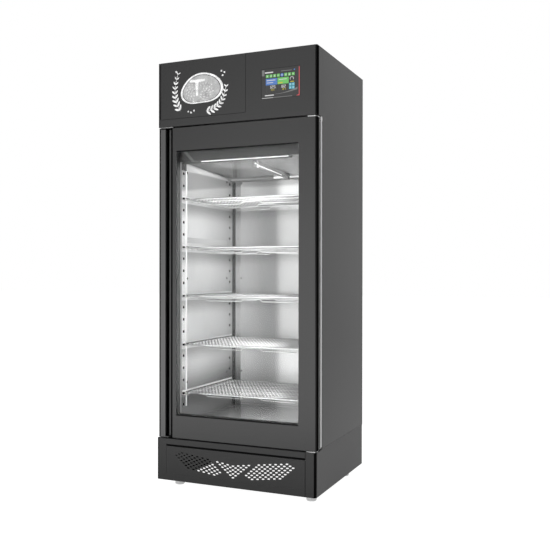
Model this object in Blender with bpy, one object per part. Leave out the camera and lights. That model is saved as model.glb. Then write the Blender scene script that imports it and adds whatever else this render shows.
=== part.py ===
"""Upright dry ageing cabinet with one glazed door, wire shelves and a cooling unit on top.

Metres, +Z up. The front faces -Y, the origin lies on the floor under the middle of the cabinet.
Depths named ..._BACK and ..._FRONT are places along Y, the others are sizes.
"""

import math

import bmesh
import bpy
from mathutils import Matrix, Vector

# Overall size
WIDTH = 0.839
DEPTH = 0.710
HEIGHT = 2.100

# Clearances and sheet
SEAT_GAP = 0.0003
OVERRUN = 0.012
SHEET = 0.002
CORNER_RADIUS = 0.010
CORNER_STEPS = 4
SMALL_CORNER_STEPS = 2
SHARP_ANGLE = math.radians(35)

# Levelling feet
FOOT_HEIGHT = 0.0455
FOOT_RADIUS = 0.024
FOOT_EDGE = 0.003
FOOT_BODY_SHARE = 0.86
FOOT_NECK_SHARE = 0.6
FOOT_INSET_SIDE = 0.0645
FOOT_INSET_END = 0.113
FOOT_SIDES = 16

# Base with its inset grille
BASE_PROUD = 0.0005
BASE_FRONT_PROUD = 0.010
BASE_HEIGHT = 0.2065
BASE_SHEET = 0.0025
BASE_RAIL_DROP = 0.003
BASE_END_LIP = 0.014
BASE_SIDE_FLANGE = 0.094
BASE_SEAM = 0.001
GRILLE_MARGIN_SIDE = 0.0527
GRILLE_MARGIN_BOTTOM = 0.0322
GRILLE_MARGIN_TOP = 0.0346
GRILLE_TOP_SLOT = 0.0045
GRILLE_SIDE_SLOT = 0.001
GRILLE_FLANGE = 0.014
HOLE_LENGTH = 0.0172
HOLE_HEIGHT = 0.0082
HOLE_SLANT_SHARE = 0.22
HOLE_STEP_DOWN = 0.0111
CENTRE_FIELD_STEP = 0.0139
CENTRE_FIELD_RISE = 0.0039
CENTRE_FIELD_TOP = 0.0563
CENTRE_FIELD_ROWS = 7
CENTRE_FIELD_COLUMN = 6
SIDE_FIELD_PITCH = 0.0284
SIDE_FIELD_RISE = 0.00365
SIDE_FIELD_STEP_IN = 0.0131
SIDE_FIELD_TOP = 0.0310
SIDE_FIELD_END = 0.2772
SIDE_FIELD_COUNTS = (6, 7, 8, 8, 8, 8, 7, 6)
SIDE_FIELD_TURN = 2

# Insulated walls
WALL = 0.0658
FLOOR_THICKNESS = 0.0697
BACK_THICKNESS = 0.045
CEILING_THICKNESS = 0.052
TOP_FLANGE = 0.020

# Front frame that the door shuts against
FRAME_DEPTH = 0.025
FRAME_INSET = 0.0015
FRAME_CORNER = 0.012
FRAME_HEADER = 0.1562

# Fascia over the door
FASCIA_HEIGHT = 0.3168
FASCIA_SHEET = 0.0025
FASCIA_REAR_LIP = 0.020
DISPLAY_WIDTH = 0.1944
DISPLAY_HEIGHT = 0.139
DISPLAY_FROM_RIGHT = 0.0826
DISPLAY_FROM_TOP = 0.0872
DISPLAY_RADIUS = 0.003
DISPLAY_SLOT = 0.0005
DISPLAY_RECESS = 0.0005
DISPLAY_BEZEL = 0.002
DISPLAY_GLASS = 0.0024
DISPLAY_FLANGE = 0.006
DISPLAY_BOX_DEPTH = 0.034
DISPLAY_BOX_MARGIN = 0.010

# Service flap in the fascia
FLAP_FROM_RIGHT = 0.3603
FLAP_FROM_BOTTOM = 0.038
FLAP_SEAM = 0.0008
FLAP_SHEET = 0.0016
FLAP_ROLL_RADIUS = 0.004
FLAP_ROLL_TURN = math.radians(300)
FLAP_ROLL_STEPS = 10
FLAP_RETURN = 0.012
FLAP_CORNER = 0.008
FLAP_PIN_RADIUS = 0.0018
FLAP_LUG = 0.002
FLAP_LUG_DEPTH = 0.012
FLAP_LUG_GAP = 0.0005

# Door
DOOR_GAP_BOTTOM = 0.0052
DOOR_GAP_TOP = 0.0084
DOOR_RIGHT_INSET = 0.0005
DOOR_GRIP_WIDTH = 0.0818
DOOR_SKIN_DEPTH = 0.034
DOOR_CORE_DEPTH = 0.040
DOOR_REAR_INSET = 0.016
DOOR_REAR_STEP = 0.008
FRAME_GAP = 0.0065
WINDOW_LEFT_STILE = 0.0196
WINDOW_RIGHT_STILE = 0.0896
WINDOW_TOP_RAIL = 0.1123
WINDOW_BOTTOM_RAIL = 0.1157
WINDOW_RADIUS = 0.005
GLASS = 0.004
GLASS_BITE = 0.012
GLASS_LIP = 0.0027
SPACER_WIDTH = 0.009
GASKET_WIDTH = 0.014
GASKET_INSET = 0.003
GASKET_LIP = 0.004

# Handle along the door's free edge
HANDLE_LEFT_INSET = 0.0045
HANDLE_SEAM = 0.0015
HANDLE_LIP = 0.0363
HANDLE_WALL = 0.003
HANDLE_GROOVE = 0.021
HANDLE_STEP = 0.001
HANDLE_CAP = 0.003
HANDLE_CORNER = 0.002

# Door hinge
HINGE_INSET_SIDE = 0.018
HINGE_INSET_FRONT = 0.022
HINGE_PIN_RADIUS = 0.005
HINGE_BORE_CLEARANCE = 0.0006
HINGE_PIN_LENGTH = 0.020
HINGE_BORE_SPARE = 0.003
HINGE_PLATE = 0.003
HINGE_PLATE_LEFT = 0.024
HINGE_PLATE_RIGHT = 0.015
HINGE_PLATE_NOSE = 0.014
HINGE_SIDES = 12

# Shelf uprights and linings
LINING_INSET = 0.026
UPRIGHT_FRONT_WIDTH = 0.0465
UPRIGHT_TOP_GAP = 0.043
REAR_SIDE_FLANGE = 0.050
REAR_WEB = 0.0155
REAR_BACK_FLANGE = 0.031
REAR_DUCT = 0.0092
SLOT_COUNT = 20
SLOT_FIRST = 0.0829
SLOT_LAST = 0.0154
SLOT_WIDTH = 0.005
SLOT_HEIGHT = 0.014
SLOT_FRONT_INSET = 0.018
SLOT_REAR_INSET = 0.032
AIR_SLOT_LENGTH = 0.080
AIR_SLOT_HEIGHT = 0.010
AIR_SLOT_COUNT = 5
AIR_SLOT_PITCH = 0.105
AIR_SLOT_FROM_TOP = 0.022

# Shelves and the runners that carry them
SHELF_COUNT = 5
SHELF_FIRST_SLOT = 1
SHELF_SLOT_STEP = 4
RUNNER_HEIGHT = 0.0225
RUNNER_DROP = 0.0125
RUNNER_LEDGE = 0.018
RUNNER_FRONT = 0.003
RUNNER_REAR_GAP = 0.0207
SHELF_SIDE_GAP = 0.0022
SHELF_REAR_GAP = 0.0257
SHELF_FRONT_INSET = 0.038
SHELF_BAR = 0.008
SHELF_CORNER = 0.016
WIRE_RADIUS = 0.0016
WIRE_COUNT = 15
WIRE_SIDES = 5
WIRE_SEAT = 0.003
ROD_RADIUS = 0.002
ROD_COUNT = 3
ROD_SIDES = 4
ROD_FIRST = 0.070
ROD_LAST = 0.120
ROD_DROP = 0.018
ROD_SLOPE = 0.0145
TROUGH_SHARES = ((-0.769, 0.130), (0.214, 0.939))

# Air cooler under the ceiling
PLENUM_FRONT_DROP = 0.106
PLENUM_REAR_DROP = 0.130
PLENUM_REAR_GAP = 0.045
LAMP_BAR_HEIGHT = 0.008
LAMP_BAR_WIDTH = 0.015
LAMP_BAR_FROM_FRAME = 0.008
LAMP_BAR_RIGHT_GAP = 0.0695
TUBE_LAMP_RADIUS = 0.008
TUBE_LAMP_SHARE = 0.1155
TUBE_LAMP_FRONT = 0.090
TUBE_LAMP_REAR_GAP = 0.0387
TUBE_LAMP_DROP = 0.018
TUBE_HOLDER = 0.022
TUBE_LAMP_SIDES = 12
COOLER_WIDTH = 0.440
COOLER_DEPTH = 0.070
COOLER_FRONT = 0.300
COOLER_FIN_COUNT = 12
COOLER_FIN_GAP = 0.012
COOLER_FIN_CUT = 0.010
COOLER_FAN_X = 0.100
COOLER_FAN_FRONT = 0.232
COOLER_FAN_RADIUS = 0.044
COOLER_FAN_DROP = 0.060
COOLER_MOTOR_RADIUS = 0.019
COOLER_MOTOR_LENGTH = 0.040
COOLER_HUB_RADIUS = 0.0095

# Condensing unit on the ceiling
TRAY_SIDE_GAP = 0.099
TRAY_REAR_GAP = 0.0282
TRAY_FRONT = 0.180
TRAY_HEIGHT = 0.022
TRAY_CORNER = 0.010
COMPRESSOR_X = -0.165
COMPRESSOR_FRONT = 0.3607
COMPRESSOR_RADIUS = 0.080
COMPRESSOR_HEIGHT = 0.190
TURNED_SIDES = 16
CONDENSER_X = 0.150
CONDENSER_WIDTH = 0.260
CONDENSER_HEIGHT = 0.240
CONDENSER_DEPTH = 0.044
CONDENSER_FRONT = 0.210
CONDENSER_FIN_COUNT = 16
CONDENSER_FIN_GAP = 0.009
CONDENSER_FIN_CUT = 0.014
SHROUD_DEPTH = 0.050
SHROUD_RING = 0.108
SHROUD_TUNNEL = 0.116
SHROUD_SIDES = 28
SHROUD_ARM = 0.010
FAN_RADIUS = 0.100
FAN_HUB_RADIUS = 0.026
FAN_HUB_LENGTH = 0.022
FAN_BLADE_COUNT = 5
FAN_BLADE = 0.0016
FAN_BLADE_PITCH = math.radians(28)
FAN_BLADE_SWEEP = math.radians(24)
FAN_BLADE_STEPS = 4
FAN_BORE_CLEARANCE = 0.0004
FAN_RUN_GAP = 0.001
FAN_BLADE_SHARE = 0.8
FAN_ROOT_SHARE = 0.7
FAN_TWIST_SHARE = 0.35
MOTOR_RADIUS = 0.032
MOTOR_LENGTH = 0.052
SHAFT_RADIUS = 0.003
CONTROL_WIDTH = 0.190
CONTROL_HEIGHT = 0.170
CONTROL_DEPTH = 0.070
CONTROL_FROM_SIDE = 0.149
CONTROL_FRONT = 0.016
CONTROL_RADIUS = 0.006
GLAND_RADIUS = 0.009
GLAND_LENGTH = 0.014
GLAND_SIDES = 12
PIPE_RADIUS = 0.0048
PIPE_SIDES = 6
PIPE_BEND = 0.012
PIPE_BEND_STEPS = 2
PIPE_RISE = 0.020
PIPE_SIDE_STEP = 0.030
SUCTION_X = -0.045
SUCTION_FROM_TRAY = 0.030
SUCTION_LEVEL = 0.100

# Places along Y
BASE_FRONT = -DEPTH / 2
FRONT = BASE_FRONT + BASE_FRONT_PROUD
BACK = DEPTH / 2
SKIN_BACK = FRONT + DOOR_SKIN_DEPTH
CORE_BACK = FRONT + DOOR_CORE_DEPTH
FRAME_FRONT = CORE_BACK + FRAME_GAP
FRAME_BACK = FRAME_FRONT + FRAME_DEPTH
BODY_FRONT = FRAME_BACK + SEAT_GAP
REAR_WALL_FRONT = BACK - BACK_THICKNESS
BACK_LINING = REAR_WALL_FRONT - SEAT_GAP - REAR_DUCT

# Places along X, given for the right side
BASE_SIDE = WIDTH / 2
BODY_SIDE = BASE_SIDE - BASE_PROUD
WALL_INNER = BODY_SIDE - WALL
CORE_SIDE = WALL_INNER - SEAT_GAP
LINING = WALL_INNER - LINING_INSET
FRAME_SIDE = BODY_SIDE - FRAME_INSET
DOOR_RIGHT = BASE_SIDE - DOOR_RIGHT_INSET
DOOR_PANEL_LEFT = -BODY_SIDE + DOOR_GRIP_WIDTH
HANDLE_LEFT = -BODY_SIDE + HANDLE_LEFT_INSET
HANDLE_RIGHT = DOOR_PANEL_LEFT - HANDLE_SEAM
FLAP_RIGHT = BODY_SIDE - FLAP_FROM_RIGHT
LAMP_BAR_RIGHT = LINING - LAMP_BAR_RIGHT_GAP
TUBE_LAMP_X = LINING * TUBE_LAMP_SHARE
CONTROL_X = -BODY_SIDE + CONTROL_FROM_SIDE
TRAY_SIDE = BODY_SIDE - TRAY_SIDE_GAP

# Places along Z
BASE_TOP = FOOT_HEIGHT + BASE_HEIGHT
BASE_RAIL_TOP = BASE_TOP - BASE_RAIL_DROP
BODY_BOTTOM = BASE_TOP + SEAT_GAP
FLOOR_TOP = BODY_BOTTOM + FLOOR_THICKNESS
FASCIA_BOTTOM = HEIGHT - FASCIA_HEIGHT
DOOR_BOTTOM = BASE_RAIL_TOP + DOOR_GAP_BOTTOM
DOOR_TOP = FASCIA_BOTTOM - DOOR_GAP_TOP
HINGE_PLATE_TOP = FASCIA_BOTTOM - (DOOR_GAP_TOP - HINGE_PLATE) / 2 - SEAT_GAP * 2
FRAME_TOP = HINGE_PLATE_TOP - HINGE_PLATE - SEAT_GAP
FRAME_OPENING_TOP = FRAME_TOP - FRAME_HEADER
CEILING_TOP = FRAME_TOP
CEILING_BOTTOM = CEILING_TOP - CEILING_THICKNESS
UPRIGHT_TOP = FRAME_OPENING_TOP - UPRIGHT_TOP_GAP
UPRIGHT_BOTTOM = FLOOR_TOP + SEAT_GAP
UNIT_FLOOR = CEILING_TOP + SEAT_GAP

# Window in the door
WINDOW_LEFT = DOOR_PANEL_LEFT + WINDOW_LEFT_STILE
WINDOW_RIGHT = DOOR_RIGHT - WINDOW_RIGHT_STILE
WINDOW_BOTTOM = DOOR_BOTTOM + WINDOW_BOTTOM_RAIL
WINDOW_TOP = DOOR_TOP - WINDOW_TOP_RAIL
HINGE_X = DOOR_RIGHT - HINGE_INSET_SIDE - DOOR_RIGHT_INSET
HINGE_Y = FRONT + HINGE_INSET_FRONT

# Finishes: colour, roughness, metallic, alpha
FINISHES = {
    "anthracite": ((0.055, 0.055, 0.056), 0.42, 0.2, 1.0),
    "stainless": ((0.60, 0.60, 0.61), 0.32, 1.0, 1.0),
    "polished_steel": ((0.78, 0.78, 0.79), 0.15, 1.0, 1.0),
    "zinc": ((0.58, 0.58, 0.59), 0.35, 1.0, 1.0),
    "aluminium": ((0.66, 0.66, 0.67), 0.4, 1.0, 1.0),
    "handle_grey": ((0.14, 0.14, 0.145), 0.4, 0.6, 1.0),
    "black_plastic": ((0.012, 0.012, 0.013), 0.45, 0.0, 1.0),
    "rubber": ((0.02, 0.02, 0.02), 0.75, 0.0, 1.0),
    "glass": ((0.92, 0.95, 0.95), 0.03, 0.0, 0.18),
    "screen": ((0.02, 0.025, 0.03), 0.08, 0.0, 1.0),
    "lamp": ((0.95, 0.97, 1.0), 0.3, 0.0, 1.0),
    "copper": ((0.72, 0.36, 0.22), 0.3, 1.0, 1.0),
    "machine_black": ((0.018, 0.018, 0.02), 0.5, 0.1, 1.0),
}


# Scene, materials and nodes

def clear_scene():
    for item in list(bpy.data.objects):
        bpy.data.objects.remove(item, do_unlink=True)


def make_material(name, finish):
    colour, roughness, metallic, alpha = FINISHES[finish]
    material = bpy.data.materials.new(name)
    material.use_nodes = True
    shader = material.node_tree.nodes["Principled BSDF"]
    shader.inputs["Base Color"].default_value = (*colour, 1.0)
    shader.inputs["Roughness"].default_value = roughness
    shader.inputs["Metallic"].default_value = metallic
    shader.inputs["Alpha"].default_value = alpha
    return material


def make_mesh(name, bm):
    """Close off a bmesh as a mesh with outward faces and sharp creases."""
    bmesh.ops.recalc_face_normals(bm, faces=bm.faces)
    mesh = bpy.data.meshes.new(name)
    bm.to_mesh(mesh)
    bm.free()
    mesh.shade_smooth()
    mesh.set_sharp_from_angle(angle=SHARP_ANGLE)
    return mesh


def add_node(name, bm, finish, origin=(0, 0, 0)):
    """Add a finished sub-part, with its origin moved to the given point."""
    bmesh.ops.translate(bm, verts=bm.verts, vec=-Vector(origin))
    node = bpy.data.objects.new(name, make_mesh(name, bm))
    node.location = origin
    node.data.materials.append(make_material(name + "_finish", finish))
    bpy.context.scene.collection.objects.link(node)
    return node


def add_copy(name, mesh, finish, location):
    node = bpy.data.objects.new(name, mesh)
    node.location = location
    if not mesh.materials:
        mesh.materials.append(make_material(name + "_finish", finish))
    bpy.context.scene.collection.objects.link(node)
    return node


def combine(target, bm, operation="DIFFERENCE"):
    """Cut a shape out of a sub-part, or join it on, with a hidden guide that stays with it."""
    guide = bpy.data.objects.new(target.name + "_guide", make_mesh(target.name + "_guide", bm))
    bpy.context.scene.collection.objects.link(guide)
    guide.parent = target
    guide.location = -target.location
    guide.hide_render = True
    guide.display_type = "WIRE"
    modifier = target.modifiers.new("combine", "BOOLEAN")
    modifier.solver = "EXACT"
    modifier.operation = operation
    modifier.object = guide
    return guide


def settle(target):
    """Replace a sub-part's mesh by the result of its modifiers and drop their guides."""
    bpy.context.view_layer.update()
    depsgraph = bpy.context.evaluated_depsgraph_get()
    mesh = bpy.data.meshes.new_from_object(target.evaluated_get(depsgraph))
    guides = [modifier.object for modifier in target.modifiers]
    target.modifiers.clear()
    target.data = mesh
    for guide in guides:
        bpy.data.objects.remove(guide, do_unlink=True)
    mesh.set_sharp_from_angle(angle=SHARP_ANGLE)
    return mesh


def hang_on(name, pivot, nodes):
    """Parent sub-parts to an empty on the axis that they turn about."""
    empty = bpy.data.objects.new(name, None)
    empty.location = pivot
    bpy.context.scene.collection.objects.link(empty)
    for node in nodes:
        node.parent = empty
        node.location = node.location - Vector(pivot)


# Shapes

def place(axis, across, up, level):
    """Put a point of an outline, drawn square to an axis, at a level along that axis."""
    if axis == "X":
        return (level, across, up)
    if axis == "Y":
        return (across, level, up)
    return (across, up, level)


def arc(centre, radius, start, end, steps):
    """Points on an arc, both ends included, with angles in quarter turns."""
    quarter = math.pi / 2
    turns = [start + (end - start) * i / steps for i in range(steps + 1)]
    return [(centre[0] + radius * math.cos(t * quarter), centre[1] + radius * math.sin(t * quarter))
            for t in turns]


def rectangle(left, right, low, high, radius=0, steps=0):
    """An anticlockwise rectangle, with rounded corners where a radius is given."""
    if not steps:
        return [(left, low), (right, low), (right, high), (left, high)]
    points = []
    corners = ((right - radius, low + radius, 3), (right - radius, high - radius, 0),
               (left + radius, high - radius, 1), (left + radius, low + radius, 2))
    for across, up, turn in corners:
        points += arc((across, up), radius, turn, turn + 1, steps)
    return points


def rounded_front(bounds, radius):
    """A rectangle in plan with its two front corners rounded and its rear ones square."""
    left, right, low, high = bounds
    points = [(right, high), (left, high)]
    points += arc((left + radius, low + radius), radius, 2, 3, CORNER_STEPS)
    return points + arc((right - radius, low + radius), radius, 3, 4, CORNER_STEPS)


def inset(bounds, amount):
    left, right, low, high = bounds
    return (left + amount, right - amount, low + amount, high - amount)


def loft(bm, loops, capped):
    """Skin a chain of loops of equal count: capped at both ends, or closed on itself."""
    rings = [[bm.verts.new(point) for point in loop] for loop in loops]
    pairs = list(zip(rings, rings[1:]))
    if not capped:
        pairs.append((rings[-1], rings[0]))
    for first, second in pairs:
        count = len(first)
        for i in range(count):
            j = (i + 1) % count
            bm.faces.new((first[i], first[j], second[j], second[i]))
    if capped:
        bm.faces.new(rings[0])
        bm.faces.new(rings[-1])


def loft_rectangles(axis, stations, radius=0, steps=0, capped=True):
    """Loft rectangles, each given as (bounds, level) or (bounds, level, corner radius)."""
    bm = bmesh.new()
    loops = []
    for station in stations:
        bounds, level = station[:2]
        corner = station[2] if len(station) > 2 else radius
        loops.append([place(axis, across, up, level)
                      for across, up in rectangle(*bounds, corner, steps)])
    loft(bm, loops, capped)
    return bm


def add_prism(bm, axis, outline, low, high):
    """Extrude an outline along an axis."""
    loops = [[place(axis, across, up, level) for across, up in outline] for level in (low, high)]
    loft(bm, loops, capped=True)
    return bm


def prism(axis, outline, low, high):
    return add_prism(bmesh.new(), axis, outline, low, high)


def add_block(bm, x_range, y_range, z_range):
    return add_prism(bm, "Z", rectangle(*x_range, *y_range), *z_range)


def folded_sheet(path, thickness):
    """Outline of a sheet folded along a path, with the wall on the path's left."""
    points = [Vector(point) for point in path]
    offset = []
    for i, point in enumerate(points):
        before = (point - points[i - 1]).normalized() if i else None
        after = (points[i + 1] - point).normalized() if i < len(points) - 1 else None
        before = before or after
        after = after or before
        normal_before = Vector((-before.y, before.x))
        normal_after = Vector((-after.y, after.x))
        mitre = (normal_before + normal_after).normalized()
        offset.append(point + mitre * (thickness / mitre.dot(normal_before)))
    return [tuple(point) for point in points + offset[::-1]]


def mirror_outline(outline):
    """The same outline on the other side of the middle plane."""
    return [(-across, up) for across, up in outline[::-1]]


def add_turned(bm, profile, centre, axis, sides):
    """Turn a profile of (radius, distance along the axis) about an axis through a centre."""
    loops = []
    for radius, along in profile:
        circle = arc((0, 0), radius, 0, 4, sides)[:-1]
        loops.append([Vector(place(axis, across, up, along)) + Vector(centre)
                      for across, up in circle])
    loft(bm, loops, capped=True)
    return bm


def turned(profile, centre, axis, sides):
    return add_turned(bmesh.new(), profile, centre, axis, sides)


def add_tube(bm, route, radius, sides):
    """Carry a circle along a route of points, mitred at each bend."""
    points = [Vector(point) for point in route]
    tangents = [(b - a).normalized() for a, b in zip(points, points[1:])]
    side = tangents[0].orthogonal().normalized()
    loops = []
    for i, point in enumerate(points):
        before = tangents[max(i - 1, 0)]
        after = tangents[min(i, len(tangents) - 1)]
        if i:
            side = before.rotation_difference(after) @ side if before.angle(after) else side
        start = after.cross(side)
        plane = (before + after).normalized()
        ring = []
        for step in range(sides):
            turn = math.tau * step / sides
            spoke = (side * math.cos(turn) + start * math.sin(turn)) * radius
            reach = spoke.dot(plane) / after.dot(plane)
            ring.append(point + spoke - after * reach)
        loops.append(ring)
    loft(bm, loops, capped=True)
    return bm


def rounded_route(corners, radius, steps):
    """A route through corner points with each bend replaced by an arc of a Bezier curve."""
    points = [Vector(point) for point in corners]
    route = [points[0]]
    for before, point, after in zip(points, points[1:], points[2:]):
        start = point + (before - point).normalized() * radius
        end = point + (after - point).normalized() * radius
        for i in range(steps + 1):
            t = i / steps
            route.append(start * (1 - t) ** 2 + point * (2 * t * (1 - t)) + end * t ** 2)
    return route + [points[-1]]


# Base, feet and grille

def build_base():
    """An open-bottomed box: its floor flanges carry the feet, its deck carries the cabinet."""
    outer = (-BASE_SIDE, BASE_SIDE, BASE_FRONT, BACK)
    inner = inset(outer, BASE_SHEET)
    mouth = (-BASE_SIDE + BASE_SIDE_FLANGE, BASE_SIDE - BASE_SIDE_FLANGE,
             BASE_FRONT + BASE_END_LIP, BACK - BASE_END_LIP)
    inner_radius = CORNER_RADIUS - BASE_SHEET
    stations = [(outer, BASE_TOP, CORNER_RADIUS),
                (outer, FOOT_HEIGHT, CORNER_RADIUS),
                (mouth, FOOT_HEIGHT, CORNER_RADIUS),
                (mouth, FOOT_HEIGHT + BASE_SHEET, CORNER_RADIUS),
                (inner, FOOT_HEIGHT + BASE_SHEET, inner_radius),
                (inner, BASE_TOP - BASE_RAIL_DROP - BASE_SHEET, inner_radius)]
    base = add_node("base_frame", loft_rectangles("Z", stations, steps=CORNER_STEPS), "anthracite")
    cuts = bmesh.new()
    left, right, low, high = GRILLE_OPENING
    ahead = BASE_FRONT - OVERRUN
    add_block(cuts, (left, right), (ahead, BASE_FRONT + BASE_SHEET + OVERRUN), (low, high))
    add_block(cuts, (-WIDTH, WIDTH), (ahead, FRAME_FRONT), (BASE_RAIL_TOP, BASE_TOP + OVERRUN))
    combine(base, cuts)
    seam = add_block(bmesh.new(), (right, right + BASE_SEAM), (ahead, BASE_FRONT + BASE_SEAM),
                     (FOOT_HEIGHT - OVERRUN, BASE_RAIL_TOP + OVERRUN))
    combine(base, seam)


GRILLE_OPENING = (-BASE_SIDE + GRILLE_MARGIN_SIDE, BASE_SIDE - GRILLE_MARGIN_SIDE,
                  FOOT_HEIGHT + GRILLE_MARGIN_BOTTOM, BASE_TOP - GRILLE_MARGIN_TOP)


def field_centres():
    """Hole centres, as distances across and down from the middle of the grille's top edge.

    Each half is a slanted lattice: a row climbs outwards, and each next row starts further
    in. The two halves mirror each other and share the middle column.
    """
    half = []
    for row in range(CENTRE_FIELD_ROWS):
        for i, column in enumerate(range(CENTRE_FIELD_COLUMN - row, -1, -2)):
            drop = CENTRE_FIELD_TOP + row * HOLE_STEP_DOWN + i * CENTRE_FIELD_RISE
            half.append((column * CENTRE_FIELD_STEP, drop))
    end = SIDE_FIELD_END
    top = SIDE_FIELD_TOP
    for row, count in enumerate(SIDE_FIELD_COUNTS):
        half += [(end - i * SIDE_FIELD_PITCH, top + i * SIDE_FIELD_RISE) for i in range(count)]
        end -= SIDE_FIELD_STEP_IN
        top += HOLE_STEP_DOWN
        if row < SIDE_FIELD_TURN:
            end += SIDE_FIELD_PITCH
            top -= SIDE_FIELD_RISE
    other = [(-across, drop) for across, drop in half if across]
    return half + other


def build_grille():
    """A folded panel with three fields of long slanted holes."""
    left, right, low, high = GRILLE_OPENING
    bottom = low + SEAT_GAP
    top = high - GRILLE_TOP_SLOT
    rear = BASE_FRONT + GRILLE_FLANGE
    path = [(rear, bottom), (BASE_FRONT, bottom), (BASE_FRONT, top), (rear, top)]
    outline = folded_sheet(path[::-1], SHEET)
    panel = prism("X", outline, left + GRILLE_SIDE_SLOT, right - GRILLE_SIDE_SLOT)
    grille = add_node("base_grille", panel, "anthracite")
    half_length = HOLE_LENGTH / 2
    half_height = HOLE_HEIGHT / 2
    slant = HOLE_LENGTH * HOLE_SLANT_SHARE
    cuts = bmesh.new()
    for x, drop in field_centres():
        z = high - drop
        lean = math.copysign(slant, x)
        hole = [(x - half_length + max(-lean, 0), z - half_height),
                (x + half_length - max(lean, 0), z - half_height),
                (x + half_length - max(-lean, 0), z + half_height),
                (x - half_length + max(lean, 0), z + half_height)]
        add_prism(cuts, "Y", hole, BASE_FRONT - SHEET, BASE_FRONT + 2 * SHEET)
    combine(grille, cuts)


def build_feet():
    top = FOOT_HEIGHT - SEAT_GAP
    body_top = top * FOOT_BODY_SHARE
    neck = FOOT_RADIUS * FOOT_NECK_SHARE
    profile = [(FOOT_RADIUS - FOOT_EDGE, 0), (FOOT_RADIUS, FOOT_EDGE), (FOOT_RADIUS, body_top),
               (neck, body_top), (neck, top)]
    x = BASE_SIDE - FOOT_INSET_SIDE
    y = BACK - FOOT_INSET_END
    for end, sign_y in (("front", -1), ("rear", 1)):
        for side, sign_x in (("left", -1), ("right", 1)):
            centre = (sign_x * x, sign_y * y, 0)
            foot = turned(profile, centre, "Z", FOOT_SIDES)
            add_node(f"foot_{end}_{side}", foot, "zinc", origin=centre)


# Cabinet body

def build_walls():
    """Foamed side walls that run on as thin skins beside the unit, floor, back and ceiling."""
    skin = BODY_SIDE - SHEET
    flange = BODY_SIDE - TOP_FLANGE
    wall = [(WALL_INNER, BODY_BOTTOM), (BODY_SIDE, BODY_BOTTOM), (BODY_SIDE, HEIGHT),
            (flange, HEIGHT), (flange, HEIGHT - SHEET), (skin, HEIGHT - SHEET),
            (skin, CEILING_TOP), (WALL_INNER, CEILING_TOP)]
    add_node("side_wall_right", prism("Y", wall, BODY_FRONT, BACK), "anthracite")
    add_node("side_wall_left", prism("Y", mirror_outline(wall), BODY_FRONT, BACK), "anthracite")
    across = (-CORE_SIDE, CORE_SIDE)
    floor = add_block(bmesh.new(), across, (BODY_FRONT, BACK), (BODY_BOTTOM, FLOOR_TOP))
    add_node("floor_slab", floor, "stainless")
    rear = add_block(bmesh.new(), across, (REAR_WALL_FRONT, BACK),
                     (FLOOR_TOP + SEAT_GAP, CEILING_TOP))
    add_node("rear_wall", rear, "zinc")
    ceiling = add_block(bmesh.new(), across, (BODY_FRONT, REAR_WALL_FRONT - SEAT_GAP),
                        (CEILING_BOTTOM, CEILING_TOP))
    add_node("ceiling_slab", ceiling, "zinc")


def build_front_frame():
    outer = (-FRAME_SIDE, FRAME_SIDE, BODY_BOTTOM, FRAME_TOP)
    stations = [(outer, FRAME_FRONT), (outer, FRAME_BACK)]
    plate = loft_rectangles("Y", stations, FRAME_CORNER, SMALL_CORNER_STEPS)
    frame = add_node("front_frame", plate, "stainless")
    opening = add_block(bmesh.new(), (-LINING, LINING),
                        (FRAME_FRONT - OVERRUN, FRAME_BACK + OVERRUN),
                        (FLOOR_TOP, FRAME_OPENING_TOP))
    combine(frame, opening)


# Fascia with display and flap

DISPLAY = (BODY_SIDE - DISPLAY_FROM_RIGHT - DISPLAY_WIDTH, BODY_SIDE - DISPLAY_FROM_RIGHT,
           HEIGHT - DISPLAY_FROM_TOP - DISPLAY_HEIGHT, HEIGHT - DISPLAY_FROM_TOP)
FLAP_BOTTOM = FASCIA_BOTTOM + FLAP_FROM_BOTTOM
FLAP_LEFT = -BODY_SIDE + CORNER_RADIUS
FLAP_AXIS_X = FLAP_LEFT + FLAP_SEAM + FLAP_ROLL_RADIUS
FLAP_AXIS_Y = FRONT + FLAP_ROLL_RADIUS


def build_fascia():
    """A shallow box with rounded front corners, open at its top and back."""
    outer = (-BODY_SIDE, BODY_SIDE, FRONT, FRAME_BACK)
    inner = inset(outer, FASCIA_SHEET)
    outside = rounded_front(outer, CORNER_RADIUS)
    inside = rounded_front(inner, CORNER_RADIUS - FASCIA_SHEET)
    stations = [(outside, FASCIA_BOTTOM), (outside, HEIGHT), (inside, HEIGHT),
                (inside, FASCIA_BOTTOM + FASCIA_SHEET)]
    box = bmesh.new()
    loft(box, [[place("Z", across, up, level) for across, up in outline]
               for outline, level in stations], capped=True)
    fascia = add_node("fascia", box, "anthracite")
    inside_left, inside_right, _, inside_back = inner
    rear = add_block(bmesh.new(), (inside_left, inside_right),
                     (inside_back - OVERRUN, FRAME_BACK + OVERRUN),
                     (FASCIA_BOTTOM + FASCIA_REAR_LIP, HEIGHT + OVERRUN))
    combine(fascia, rear)
    through = (FRONT - OVERRUN, FRONT + FASCIA_SHEET + OVERRUN / 2)
    flap = rectangle(FLAP_LEFT, FLAP_RIGHT + FLAP_SEAM, FLAP_BOTTOM - FLAP_SEAM, HEIGHT + OVERRUN)
    flap[1:2] = arc((FLAP_RIGHT - FLAP_CORNER, FLAP_BOTTOM + FLAP_CORNER),
                    FLAP_CORNER + FLAP_SEAM, 3, 4, CORNER_STEPS)
    combine(fascia, prism("Y", flap, *through))
    window = rectangle(*inset(DISPLAY, -DISPLAY_SLOT), DISPLAY_RADIUS, SMALL_CORNER_STEPS)
    combine(fascia, prism("Y", window, *through))
    build_flap_hinge(fascia)


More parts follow.
